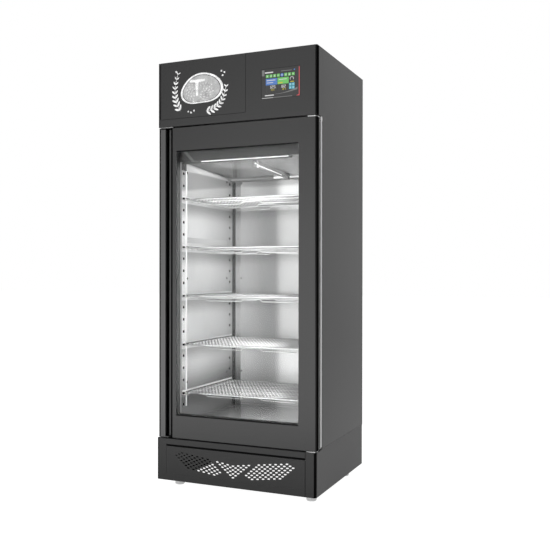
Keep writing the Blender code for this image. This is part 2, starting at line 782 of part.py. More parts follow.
def build_flap_hinge(fascia):
    """Two bent lugs inside the fascia's left return, with the pin that the flap turns on.

    They reach the pin from behind, clear of the rolled edge as it turns.
    """
    low_lug = FLAP_BOTTOM + FLAP_LUG_GAP
    high_lug = HEIGHT - FLAP_LUG - FLAP_LUG_GAP
    root = -BODY_SIDE + FASCIA_SHEET / 2
    arm = FLAP_PIN_RADIUS / 2
    behind = FLAP_AXIS_Y + FLAP_ROLL_RADIUS + FLAP_LUG_GAP
    rear = FRONT + FLAP_LUG_DEPTH
    outline = [(root, behind), (FLAP_AXIS_X - arm, behind), (FLAP_AXIS_X - arm, FLAP_AXIS_Y - arm),
               (FLAP_AXIS_X + arm, FLAP_AXIS_Y - arm), (FLAP_AXIS_X + arm, rear), (root, rear)]
    lugs = bmesh.new()
    for low in (low_lug, high_lug):
        add_prism(lugs, "Z", outline, low, low + FLAP_LUG)
    combine(fascia, lugs, "UNION")
    pin = turned([(FLAP_PIN_RADIUS, low_lug + FLAP_LUG / 2),
                  (FLAP_PIN_RADIUS, high_lug + FLAP_LUG / 2)],
                 (FLAP_AXIS_X, FLAP_AXIS_Y, 0), "Z", FLAP_ROLL_STEPS)
    combine(fascia, pin, "UNION")


def build_display():
    face = FRONT + DISPLAY_RECESS
    fixing = FRONT + FASCIA_SHEET + SEAT_GAP
    seat = inset(DISPLAY, DISPLAY_BEZEL)
    floor = face + DISPLAY_GLASS + SEAT_GAP
    flange = inset(DISPLAY, -DISPLAY_FLANGE)
    box = inset(DISPLAY, DISPLAY_BOX_MARGIN)
    flange_back = fixing + SHEET
    stations = [(seat, floor), (seat, face), (DISPLAY, face), (DISPLAY, fixing),
                (flange, fixing), (flange, flange_back), (box, flange_back),
                (box, face + DISPLAY_BOX_DEPTH)]
    housing = loft_rectangles("Y", stations, DISPLAY_RADIUS, SMALL_CORNER_STEPS)
    add_node("display_housing", housing, "black_plastic")
    pane = inset(seat, SEAT_GAP)
    screen = loft_rectangles("Y", [(pane, face), (pane, face + DISPLAY_GLASS)], DISPLAY_RADIUS,
                             SMALL_CORNER_STEPS)
    add_node("display_screen", screen, "screen")


def build_flap():
    """A sheet whose left edge rolls round a pin, so that its seam stays even as it opens."""
    axis = Vector((FLAP_AXIS_X, FLAP_AXIS_Y))
    turn = FLAP_ROLL_TURN / (math.pi / 2)
    roll = arc(axis, FLAP_ROLL_RADIUS, 3, 3 - turn, FLAP_ROLL_STEPS)
    path = roll[::-1] + [(FLAP_RIGHT, FRONT), (FLAP_RIGHT, FRONT + FLAP_RETURN)]
    top = HEIGHT
    flap = prism("Z", folded_sheet(path, FLAP_SHEET), FLAP_BOTTOM, top)
    pivot = (FLAP_AXIS_X, FLAP_AXIS_Y, FLAP_BOTTOM)
    door = add_node("service_flap", flap, "anthracite", origin=pivot)
    corner = [(FLAP_RIGHT + OVERRUN, FLAP_BOTTOM - OVERRUN)]
    corner += [(FLAP_RIGHT + OVERRUN, FLAP_BOTTOM + FLAP_CORNER)]
    corner += arc((FLAP_RIGHT - FLAP_CORNER, FLAP_BOTTOM + FLAP_CORNER), FLAP_CORNER, 4, 3,
                  CORNER_STEPS)
    corner += [(FLAP_RIGHT - FLAP_CORNER, FLAP_BOTTOM - OVERRUN)]
    cuts = prism("Y", corner, FRONT - OVERRUN, FRONT + FLAP_RETURN + OVERRUN)
    roll_side = (FLAP_AXIS_X - FLAP_ROLL_RADIUS - OVERRUN, FLAP_AXIS_X + FLAP_ROLL_RADIUS)
    behind = (FRONT + FLAP_SHEET + FLAP_LUG_GAP, FRONT + FLAP_RETURN + OVERRUN)
    lug_space = FLAP_LUG + 2 * FLAP_LUG_GAP
    for ends in ((FLAP_BOTTOM - OVERRUN, FLAP_BOTTOM + lug_space),
                 (top - lug_space, top + OVERRUN)):
        add_block(cuts, roll_side, behind, ends)
    combine(door, cuts)
    hang_on("flap_axis", pivot, [door])


# Door

def build_door():
    panel = (DOOR_PANEL_LEFT, DOOR_RIGHT, DOOR_BOTTOM, DOOR_TOP)
    window = (WINDOW_LEFT, WINDOW_RIGHT, WINDOW_BOTTOM, WINDOW_TOP)
    nodes = [build_door_skin(panel, window), build_door_core(panel, window)]
    nodes += build_glazing(window)
    nodes += build_gasket()
    nodes += build_handle()
    hang_on("door_axis", (HINGE_X, HINGE_Y, DOOR_BOTTOM), nodes)


def hinge_bores():
    """Cutters for the two upright hinge bores of the door."""
    radius = HINGE_PIN_RADIUS + HINGE_BORE_CLEARANCE
    bores = bmesh.new()
    deep = HINGE_PIN_LENGTH + HINGE_BORE_SPARE
    for low, high in ((DOOR_BOTTOM - OVERRUN, DOOR_BOTTOM + deep),
                      (DOOR_TOP - deep, DOOR_TOP + OVERRUN)):
        add_turned(bores, [(radius, low), (radius, high)], (HINGE_X, HINGE_Y, 0), "Z", HINGE_SIDES)
    return bores


def rounded_right(panel, radius, front):
    """Stations that round a panel's right edge, from its face back to its full width."""
    left, right, low, high = panel
    stations = []
    for across, depth in arc((right - radius, front + radius), radius, 3, 4, CORNER_STEPS):
        stations.append(((left, across, low, high), depth))
    return stations


def build_door_skin(panel, window):
    """A folded tray: face with the window, returns all round, right edge rounded."""
    inner = inset(panel, SHEET)
    sheet_front = FRONT + SHEET
    outside = [(window, sheet_front, WINDOW_RADIUS), (window, FRONT, WINDOW_RADIUS)]
    outside += [(*station, SHEET) for station in rounded_right(panel, CORNER_RADIUS, FRONT)]
    outside += [(panel, SKIN_BACK, SHEET)]
    inside = [(inner, SKIN_BACK, SHEET / 2)]
    inside += [(*station, SHEET / 2)
               for station in rounded_right(inner, CORNER_RADIUS - SHEET, sheet_front)[::-1]]
    shape = loft_rectangles("Y", outside + inside, steps=1, capped=False)
    skin = add_node("door_skin", shape, "anthracite", (HINGE_X, HINGE_Y, DOOR_BOTTOM))
    combine(skin, hinge_bores())
    return skin


def build_door_core(panel, window):
    """The foamed ring inside the skin: a pocket for the glass, a rear face for the gasket."""
    front = FRONT + SHEET + SEAT_GAP
    pocket = inset(window, -GLASS_BITE - SEAT_GAP)
    body = inset(panel, SHEET + SEAT_GAP)
    chamfer = CORNER_RADIUS - SHEET
    face = (body[0], body[1] - chamfer, body[2], body[3])
    step = SKIN_BACK + SEAT_GAP
    rear = (-HINGE_X - 2 * SHEET, DOOR_RIGHT - DOOR_REAR_INSET, DOOR_BOTTOM + DOOR_REAR_STEP,
            DOOR_TOP - DOOR_REAR_STEP)
    lip = CORE_BACK - GLASS_LIP
    stations = [(window, CORE_BACK), (window, lip), (pocket, lip), (pocket, front),
                (face, front), (body, front + chamfer), (body, step), (rear, step),
                (rear, CORE_BACK)]
    shape = loft_rectangles("Y", stations, SHEET, steps=1, capped=False)
    core = add_node("door_inner_frame", shape, "machine_black", (HINGE_X, HINGE_Y, DOOR_BOTTOM))
    combine(core, hinge_bores())
    return core


def build_glazing(window):
    """Two panes with a spacer between them."""
    pane = inset(window, -GLASS_BITE)
    origin = (HINGE_X, HINGE_Y, DOOR_BOTTOM)
    outer_front = FRONT + SHEET + 2 * SEAT_GAP
    inner_back = CORE_BACK - GLASS_LIP - SEAT_GAP
    nodes = []
    for name, front, back in (("door_glass_outer", outer_front, outer_front + GLASS),
                              ("door_glass_inner", inner_back - GLASS, inner_back)):
        shape = loft_rectangles("Y", [(pane, front), (pane, back)], SHEET, steps=1)
        nodes.append(add_node(name, shape, "glass", origin))
    front = outer_front + GLASS + SEAT_GAP
    back = inner_back - GLASS - SEAT_GAP
    rim = inset(window, -SPACER_WIDTH)
    stations = [(rim, front), (rim, back), (window, back), (window, front)]
    spacer = loft_rectangles("Y", stations, SHEET, steps=1, capped=False)
    nodes.append(add_node("glass_spacer", spacer, "aluminium", origin))
    return nodes


def build_gasket():
    """A magnetic seal: a flat foot on the door and a narrower bulb towards the frame."""
    rise = DOOR_REAR_STEP + GASKET_INSET
    outer = (-HINGE_X + GASKET_INSET, HINGE_X - GASKET_INSET, DOOR_BOTTOM + rise, DOOR_TOP - rise)
    foot = CORE_BACK + SEAT_GAP
    crest = FRAME_FRONT - SEAT_GAP
    waist = (foot + crest) / 2
    inner = inset(outer, GASKET_WIDTH)
    bulb_outer = inset(outer, GASKET_LIP)
    bulb_inner = inset(inner, -GASKET_LIP)
    stations = [(outer, foot), (outer, waist), (bulb_outer, crest), (bulb_inner, crest),
                (inner, waist), (inner, foot)]
    shape = loft_rectangles("Y", stations, capped=False)
    return [add_node("door_gasket", shape, "rubber", (HINGE_X, HINGE_Y, DOOR_BOTTOM))]


def build_handle():
    """An extrusion: a lip to pull on, an undercut groove behind it and two rear legs."""
    wall = HANDLE_WALL
    left = HANDLE_LEFT
    right = HANDLE_RIGHT
    floor = FRONT + HANDLE_GROOVE
    corner = arc((left + wall, FRONT + wall), wall, 2, 3, CORNER_STEPS)
    outline = [(left, SKIN_BACK)] + corner
    outline += [(left + HANDLE_LIP, FRONT), (left + HANDLE_LIP, FRONT + wall),
                (left + wall, FRONT + wall), (left + wall, floor), (right - wall, floor),
                (right - wall, FRONT + HANDLE_STEP), (right, FRONT + HANDLE_STEP),
                (right, SKIN_BACK), (right - wall, SKIN_BACK), (right - wall, floor + wall),
                (left + wall, floor + wall), (left + wall, SKIN_BACK)]
    low = DOOR_BOTTOM + HANDLE_CAP
    origin = (HINGE_X, HINGE_Y, DOOR_BOTTOM)
    handle = add_node("door_handle", prism("Z", outline, low, DOOR_TOP), "handle_grey", origin)
    plate = rectangle(left, right, FRONT, SKIN_BACK, HANDLE_CORNER, SMALL_CORNER_STEPS)
    caps = prism("Z", plate, DOOR_BOTTOM, low)
    add_prism(caps, "Z", plate, DOOR_TOP, DOOR_TOP + HANDLE_CAP)
    combine(handle, caps, "UNION")
    return [handle]


def build_hinges():
    """Plates on the frame top and the base rail, each with a pin that runs in the door."""
    x_range = (HINGE_X - HINGE_PLATE_LEFT, HINGE_X + HINGE_PLATE_RIGHT)
    nose = HINGE_Y - HINGE_PLATE_NOSE
    top_plate = (HINGE_PLATE_TOP - HINGE_PLATE, HINGE_PLATE_TOP)
    bottom_plate = (BASE_RAIL_TOP + SEAT_GAP, BASE_RAIL_TOP + SEAT_GAP + HINGE_PLATE)
    pin_tip = DOOR_TOP - HINGE_PIN_LENGTH
    sides = (("hinge_bracket_top", top_plate, (pin_tip, sum(top_plate) / 2), FRAME_BACK),
             ("hinge_bracket_bottom", bottom_plate,
              (sum(bottom_plate) / 2, DOOR_BOTTOM + HINGE_PIN_LENGTH), FRAME_FRONT - SEAT_GAP))
    for name, plate, pin, rear in sides:
        outline = rectangle(*x_range, nose, rear, CORNER_RADIUS, SMALL_CORNER_STEPS)
        bracket = add_node(name, prism("Z", outline, *plate), "polished_steel")
        profile = [(HINGE_PIN_RADIUS, level) for level in pin]
        combine(bracket, turned(profile, (HINGE_X, HINGE_Y, 0), "Z", HINGE_SIDES), "UNION")


# Shelf uprights and linings

FRONT_UPRIGHT_BACK = BODY_FRONT + UPRIGHT_FRONT_WIDTH
REAR_FACE_END = BACK_LINING - REAR_WEB
REAR_FACE_START = REAR_FACE_END - REAR_SIDE_FLANGE
REAR_BACK_START = LINING - REAR_WEB
REAR_BACK_END = REAR_BACK_START - REAR_BACK_FLANGE


def slot_level(index):
    first = FLOOR_TOP + SLOT_FIRST
    pitch = (UPRIGHT_TOP - SLOT_LAST - first) / (SLOT_COUNT - 1)
    return first + index * pitch


def build_uprights():
    """Folded posts with a row of slots down the face that the runners hook on."""
    front = [(CORE_SIDE, BODY_FRONT), (LINING, BODY_FRONT), (LINING, FRONT_UPRIGHT_BACK),
             (CORE_SIDE, FRONT_UPRIGHT_BACK)]
    rear = [(CORE_SIDE, REAR_FACE_START), (LINING, REAR_FACE_START), (LINING, REAR_FACE_END),
            (REAR_BACK_START, BACK_LINING), (REAR_BACK_END, BACK_LINING),
            (REAR_BACK_END, REAR_WALL_FRONT - SEAT_GAP)]
    side_cut = (LINING - SHEET, LINING + 2 * SHEET)
    rows = {"front": centred(BODY_FRONT + SLOT_FRONT_INSET, SLOT_WIDTH),
            "rear": centred(REAR_FACE_END - SLOT_REAR_INSET, SLOT_WIDTH)}
    for end, path in (("front", front), ("rear", rear)):
        outline = folded_sheet(path[::-1], SHEET)
        for side, sign in (("right", 1), ("left", -1)):
            shape = outline if sign > 0 else mirror_outline(outline)
            post = prism("Z", shape, UPRIGHT_BOTTOM, UPRIGHT_TOP)
            upright = add_node(f"upright_{end}_{side}", post, "stainless")
            cuts = bmesh.new()
            sided = sorted(sign * x for x in side_cut)
            for index in range(SLOT_COUNT):
                add_block(cuts, sided, rows[end], centred(slot_level(index), SLOT_HEIGHT))
            combine(upright, cuts)


def centred(middle, size):
    return (middle - size / 2, middle + size / 2)


def build_linings():
    """Folded sheets that line the sides and the back, with air slots at the top of the back."""
    legs_front = FRONT_UPRIGHT_BACK + SEAT_GAP
    legs_rear = REAR_FACE_START - SEAT_GAP
    side = [(CORE_SIDE, legs_front), (LINING, legs_front), (LINING, legs_rear),
            (CORE_SIDE, legs_rear)]
    outline = folded_sheet(side[::-1], SHEET)
    sides = (("side_lining_right", outline), ("side_lining_left", mirror_outline(outline)))
    for name, shape in sides:
        add_node(name, prism("Z", shape, UPRIGHT_BOTTOM, UPRIGHT_TOP), "stainless")
    edge = REAR_BACK_END - SEAT_GAP
    back = [(-edge, REAR_WALL_FRONT - SEAT_GAP), (-edge, BACK_LINING), (edge, BACK_LINING),
            (edge, REAR_WALL_FRONT - SEAT_GAP)]
    lining = add_node("back_lining", prism("Z", folded_sheet(back, SHEET), UPRIGHT_BOTTOM,
                                           UPRIGHT_TOP), "stainless")
    cuts = bmesh.new()
    middle = (AIR_SLOT_COUNT - 1) / 2
    for index in range(AIR_SLOT_COUNT):
        slot = centred((index - middle) * AIR_SLOT_PITCH, AIR_SLOT_LENGTH)
        add_block(cuts, slot, (BACK_LINING - SHEET, BACK_LINING + 2 * SHEET),
                  centred(UPRIGHT_TOP - AIR_SLOT_FROM_TOP, AIR_SLOT_HEIGHT))
    combine(lining, cuts)


# Shelves

def shelf_level(number):
    """Height of the underside of a shelf's frame."""
    clip = slot_level(SHELF_FIRST_SLOT + number * SHELF_SLOT_STEP)
    return clip - RUNNER_DROP + SHEET + SEAT_GAP


def build_runners():
    """Angle rails along the uprights, one each side under every shelf."""
    face = LINING - SEAT_GAP
    front = BODY_FRONT + RUNNER_FRONT
    for number in range(SHELF_COUNT):
        low = shelf_level(number) - SEAT_GAP - SHEET
        path = [(face, low + RUNNER_HEIGHT), (face, low), (face - RUNNER_LEDGE, low)]
        outline = folded_sheet(path[::-1], SHEET)
        for side, shape in (("right", outline), ("left", mirror_outline(outline))):
            rail = prism("Y", shape, front, BACK_LINING - RUNNER_REAR_GAP)
            add_node(f"shelf_runner_{side}_{number + 1}", rail, "stainless")


def rod_route():
    """A cross rod: along the frame's middle, with two troughs cranked down from it."""
    end = SHELF_HALF_WIDTH - SHELF_BAR + WIRE_SEAT
    high = ROD_RADIUS + SEAT_GAP
    low = high - ROD_DROP
    route = [(-end, high)]
    for start, stop in TROUGH_SHARES:
        start *= SHELF_HALF_WIDTH
        stop *= SHELF_HALF_WIDTH
        route += [(start, high), (start + ROD_SLOPE, low), (stop - ROD_SLOPE, low), (stop, high)]
    return route + [(end, high)]


SHELF_HALF_WIDTH = LINING - SEAT_GAP - SHEET - SHELF_SIDE_GAP
SHELF_FRONT = BODY_FRONT + SHELF_FRONT_INSET
SHELF_DEPTH = BACK_LINING - SHELF_REAR_GAP - SHELF_FRONT
ROD_PITCH = (SHELF_DEPTH - ROD_FIRST - ROD_LAST) / (ROD_COUNT - 1)


def build_shelves():
    """Wire shelves: a square frame, wires from front to back and cranked rods under them."""
    frame = (-SHELF_HALF_WIDTH, SHELF_HALF_WIDTH, 0, SHELF_DEPTH)
    hole = inset(frame, SHELF_BAR)
    stations = [(frame, 0, SHELF_CORNER), (frame, SHELF_BAR, SHELF_CORNER),
                (hole, SHELF_BAR, SHELF_CORNER - SHELF_BAR), (hole, 0, SHELF_CORNER - SHELF_BAR)]
    ring = loft_rectangles("Z", stations, steps=SMALL_CORNER_STEPS, capped=False)
    pattern = add_node("shelf_1", ring, "polished_steel")
    wires = bmesh.new()
    wire_level = 2 * ROD_RADIUS + 2 * SEAT_GAP + WIRE_RADIUS
    span = 2 * (SHELF_HALF_WIDTH - SHELF_CORNER)
    ends = (SHELF_BAR - WIRE_SEAT, SHELF_DEPTH - SHELF_BAR + WIRE_SEAT)
    for index in range(WIRE_COUNT):
        x = span * ((index + 1) / (WIRE_COUNT + 1) - 1 / 2)
        add_turned(wires, [(WIRE_RADIUS, ends[0]), (WIRE_RADIUS, ends[1])],
                   (x, 0, wire_level), "Y", WIRE_SIDES)
    for index in range(ROD_COUNT):
        y = ROD_FIRST + index * ROD_PITCH
        route = [(x, y, z) for x, z in rod_route()]
        add_tube(wires, route, ROD_RADIUS, ROD_SIDES)
    combine(pattern, wires, "UNION")
    mesh = settle(pattern)
    pattern.location = (0, SHELF_FRONT, shelf_level(0))
    for number in range(1, SHELF_COUNT):
        add_copy(f"shelf_{number + 1}", mesh, "polished_steel",
                 (0, SHELF_FRONT, shelf_level(number)))


# Air cooler under the ceiling

PLENUM_REAR = BACK_LINING - PLENUM_REAR_GAP


def plenum_level(y):
    """Height of the underside of the sloping cooler cover at a place along Y."""
    share = (y - BODY_FRONT) / (PLENUM_REAR - BODY_FRONT)
    drop = PLENUM_FRONT_DROP + (PLENUM_REAR_DROP - PLENUM_FRONT_DROP) * share
    return CEILING_BOTTOM - drop


def build_cooler():
    front = BODY_FRONT
    hung = CEILING_BOTTOM - SEAT_GAP
    path = [(front, hung), (front, plenum_level(front)), (PLENUM_REAR, plenum_level(PLENUM_REAR)),
            (PLENUM_REAR, hung)]
    cover = prism("X", folded_sheet(path, SHEET), -LINING + SEAT_GAP, LINING - SEAT_GAP)
    add_node("cooler_cover", cover, "stainless")
    lamp_front = BODY_FRONT + LAMP_BAR_FROM_FRAME
    lamp_top = plenum_level(lamp_front + LAMP_BAR_WIDTH) - SEAT_GAP
    bar = add_block(bmesh.new(), (-LINING + SEAT_GAP, LAMP_BAR_RIGHT),
                    (lamp_front, lamp_front + LAMP_BAR_WIDTH),
                    (lamp_top - LAMP_BAR_HEIGHT, lamp_top))
    add_node("led_strip", bar, "lamp")
    build_tube_lamp()
    build_evaporator()


def build_tube_lamp():
    """A lamp tube along the ceiling, between two holders."""
    start = BODY_FRONT + TUBE_LAMP_FRONT
    end = PLENUM_REAR - TUBE_LAMP_REAR_GAP
    ends = [(TUBE_LAMP_X, y, plenum_level(y) - TUBE_LAMP_DROP) for y in (start, end)]
    tube = add_tube(bmesh.new(), ends, TUBE_LAMP_RADIUS, TUBE_LAMP_SIDES)
    lamp = add_node("tube_lamp", tube, "lamp")
    holders = bmesh.new()
    half = TUBE_HOLDER / 2
    for y in (start - half, end - half):
        top = min(plenum_level(y), plenum_level(y + TUBE_HOLDER)) - SEAT_GAP
        low = plenum_level(y + half) - TUBE_LAMP_DROP - half
        add_block(holders, centred(TUBE_LAMP_X, TUBE_HOLDER), (y, y + TUBE_HOLDER), (low, top))
    combine(lamp, holders, "UNION")


def add_fin_cuts(bm, x_range, y_range, z_range, count, gap):
    """Cutters for the gaps between upright fins."""
    pitch = (x_range[1] - x_range[0]) / count
    for index in range(count):
        middle = x_range[0] + pitch * (index + 1 / 2)
        add_block(bm, centred(middle, gap), y_range, z_range)


def build_evaporator():
    y0 = BODY_FRONT + COOLER_FRONT
    y1 = y0 + COOLER_DEPTH
    low = plenum_level(y0) + 2 * SHEET + SEAT_GAP
    high = CEILING_BOTTOM - SEAT_GAP
    x_range = centred(0, COOLER_WIDTH)
    block = add_block(bmesh.new(), x_range, (y0, y1), (low, high))
    coil = add_node("evaporator_coil", block, "aluminium")
    cuts = bmesh.new()
    fins = inset((*x_range, low, high), COOLER_FIN_CUT)
    for y_range in ((y0 - OVERRUN, y0 + COOLER_FIN_CUT), (y1 - COOLER_FIN_CUT, y1 + OVERRUN)):
        add_fin_cuts(cuts, fins[:2], y_range, fins[2:], COOLER_FIN_COUNT, COOLER_FIN_GAP)
    combine(coil, cuts)
    half = FAN_HUB_LENGTH / 2
    centre = (COOLER_FAN_X, BODY_FRONT + COOLER_FAN_FRONT, CEILING_BOTTOM - COOLER_FAN_DROP)
    add_fan("evaporator_fan", centre, COOLER_FAN_RADIUS, COOLER_HUB_RADIUS, 1)
    profile = motor_profile(half + FAN_RUN_GAP, COOLER_MOTOR_RADIUS, COOLER_MOTOR_LENGTH)
    stub = COOLER_MOTOR_RADIUS / 2
    profile += [(stub, profile[-1][1]), (stub, y0 + COOLER_FIN_CUT + SHEET - centre[1])]
    combine(coil, turned(profile, centre, "Y", TURNED_SIDES), "UNION")


def motor_profile(face, radius, length):
    """Shaft and body of a motor whose face lies at a distance behind the fan's middle."""
    tip = 2 * SHEET - FAN_HUB_LENGTH / 2
    return [(SHAFT_RADIUS, tip), (SHAFT_RADIUS, face), (radius, face), (radius, face + length)]


def add_fan(name, centre, radius, hub, side):
    """An axial fan on a hub with a blind bore, open to the side that its motor is on."""
    half = FAN_HUB_LENGTH / 2
    bore = SHAFT_RADIUS + FAN_BORE_CLEARANCE
    profile = [(hub * FAN_ROOT_SHARE, -half), (hub, SHEET - half), (hub, half), (bore, half),
               (bore, SHEET - half)]
    shape = turned([(across, side * along) for across, along in profile], centre, "Y", TURNED_SIDES)
    fan = add_node(name, shape, "machine_black", origin=centre)
    blades = bmesh.new()
    chord = FAN_HUB_LENGTH / math.sin(FAN_BLADE_PITCH) * FAN_BLADE_SHARE
    for index in range(FAN_BLADE_COUNT):
        add_blade(blades, centre, hub * FAN_ROOT_SHARE, radius, chord,
                  math.tau * index / FAN_BLADE_COUNT)
    combine(fan, blades, "UNION")


def add_blade(bm, centre, root, tip, chord, turn):
    """Loft a thin section outwards: it sweeps round the hub and loses pitch to the tip."""
    loops = []
    for step in range(FAN_BLADE_STEPS + 1):
        share = step / FAN_BLADE_STEPS
        radius = root + (tip - root) * share
        pitch = FAN_BLADE_PITCH * (1 - FAN_TWIST_SHARE * share)
        angle = turn + FAN_BLADE_SWEEP * share ** 2
        width = min(chord * (1 + share) / 2, root * math.sqrt(2) + radius * share)
        spin = Matrix.Rotation(angle, 4, "Y")
        section = [(-width / 2, -FAN_BLADE / 2), (width / 2, -FAN_BLADE / 2),
                   (width / 2, FAN_BLADE / 2), (-width / 2, FAN_BLADE / 2)]
        loop = []
        for along, thick in section:
            x = along * math.cos(pitch) - thick * math.sin(pitch)
            y = along * math.sin(pitch) + thick * math.cos(pitch)
            loop.append(spin @ Vector((x, y, radius)) + Vector(centre))
        loops.append(loop)
    loft(bm, loops, capped=True)


# Condensing unit

def build_unit():
    """The unit stands on a tray on the ceiling slab, behind the fascia."""
    y0 = BODY_FRONT + TRAY_FRONT
    outer = (-TRAY_SIDE, TRAY_SIDE, y0, BACK - TRAY_REAR_GAP)
    inner = inset(outer, SHEET)
    floor = UNIT_FLOOR + SHEET
    stations = [(outer, UNIT_FLOOR, TRAY_CORNER), (outer, UNIT_FLOOR + TRAY_HEIGHT, TRAY_CORNER),
                (inner, UNIT_FLOOR + TRAY_HEIGHT, TRAY_CORNER - SHEET),
                (inner, floor, TRAY_CORNER - SHEET)]
    tray = loft_rectangles("Z", stations, steps=SMALL_CORNER_STEPS)
    add_node("unit_tray", tray, "zinc")
    seat = floor + SEAT_GAP
    build_compressor(seat)
    build_condenser(seat)
    build_control_box()
    build_discharge_pipe(seat)


COMPRESSOR_SHARES = ((1.18, 0), (1.18, 0.02), (0.9, 0.03), (0.98, 0.09), (1, 0.2), (1, 0.42),
                     (1.05, 0.43), (1.05, 0.47), (1, 0.48), (1, 0.72), (0.9, 0.86), (0.66, 0.96),
                     (0.3, 1))
SEAM_SHARE = 0.9
COMPRESSOR_Y = BODY_FRONT + COMPRESSOR_FRONT
RISER_Y = BODY_FRONT + TRAY_FRONT - SUCTION_FROM_TRAY
COIL_Y = BODY_FRONT + CONDENSER_FRONT + CONDENSER_DEPTH / 2
COIL_SIDE = CONDENSER_X - CONDENSER_WIDTH / 2
BESIDE_COIL = COIL_SIDE - PIPE_SIDE_STEP


def build_compressor(seat):
    """A welded can on its foot plate, with the suction line that rises from the ceiling."""
    profile = [(COMPRESSOR_RADIUS * across, COMPRESSOR_HEIGHT * up)
               for across, up in COMPRESSOR_SHARES]
    centre = (COMPRESSOR_X, COMPRESSOR_Y, seat)
    can = add_node("compressor", turned(profile, centre, "Z", TURNED_SIDES), "machine_black")
    level = seat + SUCTION_LEVEL
    route = [(SUCTION_X, RISER_Y, UNIT_FLOOR), (SUCTION_X, RISER_Y, level),
             (SUCTION_X, COMPRESSOR_Y, level),
             (COMPRESSOR_X + COMPRESSOR_RADIUS * SEAM_SHARE, COMPRESSOR_Y, level)]
    combine(can, pipe(route), "UNION")


def pipe(corners):
    route = rounded_route(corners, PIPE_BEND, PIPE_BEND_STEPS)
    return add_tube(bmesh.new(), route, PIPE_RADIUS, PIPE_SIDES)


def build_condenser(seat):
    """Finned coil, shroud, motor on the shroud's arms, and the fan inside the shroud."""
    y0 = BODY_FRONT + CONDENSER_FRONT
    y1 = y0 + CONDENSER_DEPTH
    x_range = centred(CONDENSER_X, CONDENSER_WIDTH)
    z_range = (seat, seat + CONDENSER_HEIGHT)
    coil = add_node("condenser_coil", add_block(bmesh.new(), x_range, (y0, y1), z_range),
                    "aluminium")
    cuts = bmesh.new()
    fins = inset((*x_range, *z_range), CONDENSER_FIN_CUT)
    add_fin_cuts(cuts, fins[:2], (y0 - OVERRUN, y0 + CONDENSER_FIN_CUT), fins[2:],
                 CONDENSER_FIN_COUNT, CONDENSER_FIN_GAP)
    combine(coil, cuts)
    low = seat + PIPE_SIDE_STEP
    liquid = [(COIL_SIDE + SHEET, COIL_Y, low), (BESIDE_COIL, COIL_Y, low),
              (BESIDE_COIL, RISER_Y, low), (BESIDE_COIL, RISER_Y, UNIT_FLOOR)]
    combine(coil, pipe(liquid), "UNION")
    middle = (CONDENSER_X, 0, seat + CONDENSER_HEIGHT / 2)
    bore_radius = SHAFT_RADIUS + FAN_BORE_CLEARANCE
    shroud_front = y1 + SEAT_GAP
    shroud_back = shroud_front + SHROUD_DEPTH
    box = (*x_range, *z_range)
    bm = loft_rectangles("Y", [(box, shroud_front), (box, shroud_front + SHEET)])
    shroud = add_node("condenser_fan_shroud", bm, "zinc")
    tunnel = turned([(SHROUD_TUNNEL, shroud_front + SHEET / 2), (SHROUD_TUNNEL, shroud_back)],
                    middle, "Y", SHROUD_SIDES)
    combine(shroud, tunnel, "UNION")
    bore = turned([(SHROUD_RING, shroud_front - OVERRUN), (SHROUD_RING, shroud_back + OVERRUN)],
                  middle, "Y", SHROUD_SIDES)
    combine(shroud, bore)
    arm = SHROUD_ARM / 2
    reach = (SHROUD_RING + SHROUD_TUNNEL) / 2
    quarter = [(arm, arm), (arm, reach), (-arm, reach)]
    cross = []
    for turn in range(4):
        spin = Matrix.Rotation(turn * math.pi / 2, 2)
        for point in quarter:
            across, up = spin @ Vector(point)
            cross.append((middle[0] + across, middle[2] + up))
    arm_back = shroud_back - SHEET / 2
    combine(shroud, prism("Y", cross, arm_back - SHEET, arm_back), "UNION")
    axle = turned([(bore_radius, arm_back - OVERRUN), (bore_radius, arm_back + OVERRUN)], middle,
                  "Y", HINGE_SIDES)
    combine(shroud, axle)
    hub_back = arm_back - SHEET - FAN_RUN_GAP
    centre = (middle[0], hub_back - FAN_HUB_LENGTH / 2, middle[2])
    add_fan("condenser_fan", centre, FAN_RADIUS, FAN_HUB_RADIUS, 1)
    profile = motor_profile(arm_back + SEAT_GAP - centre[1], MOTOR_RADIUS, MOTOR_LENGTH)
    add_node("condenser_fan_motor", turned(profile, centre, "Y", TURNED_SIDES), "machine_black")


def build_control_box():
    y0 = BODY_FRONT + CONTROL_FRONT
    box = (*centred(CONTROL_X, CONTROL_WIDTH), y0, y0 + CONTROL_DEPTH)
    stations = [(box, UNIT_FLOOR), (box, UNIT_FLOOR + CONTROL_HEIGHT)]
    shape = loft_rectangles("Z", stations, CONTROL_RADIUS, SMALL_CORNER_STEPS)
    control = add_node("control_box", shape, "zinc")
    end = y0 + CONTROL_DEPTH
    low = UNIT_FLOOR + 2 * GLAND_LENGTH
    gland = turned([(GLAND_RADIUS, end - GLAND_LENGTH), (GLAND_RADIUS, end + GLAND_LENGTH / 2),
                    (GLAND_RADIUS * FAN_ROOT_SHARE, end + GLAND_LENGTH)],
                   (CONTROL_X, 0, low), "Y", GLAND_SIDES)
    combine(control, gland, "UNION")


def build_discharge_pipe(seat):
    """The hot line, from the top of the compressor to the side of the condenser."""
    start = seat + COMPRESSOR_HEIGHT + SEAT_GAP
    over = start + PIPE_RISE
    end = over - PIPE_SIDE_STEP
    corners = [(COMPRESSOR_X, COMPRESSOR_Y, start), (COMPRESSOR_X, COMPRESSOR_Y, over),
               (BESIDE_COIL, COMPRESSOR_Y, over), (BESIDE_COIL, COIL_Y, over),
               (BESIDE_COIL, COIL_Y, end), (COIL_SIDE - SEAT_GAP, COIL_Y, end)]
    add_node("discharge_pipe", pipe(corners), "copper")


clear_scene()
build_base()
build_grille()
build_feet()
build_walls()
build_front_frame()
build_fascia()
build_display()
build_flap()
build_hinges()
build_uprights()
build_linings()
build_runners()
build_shelves()
build_cooler()
build_unit()
build_door()
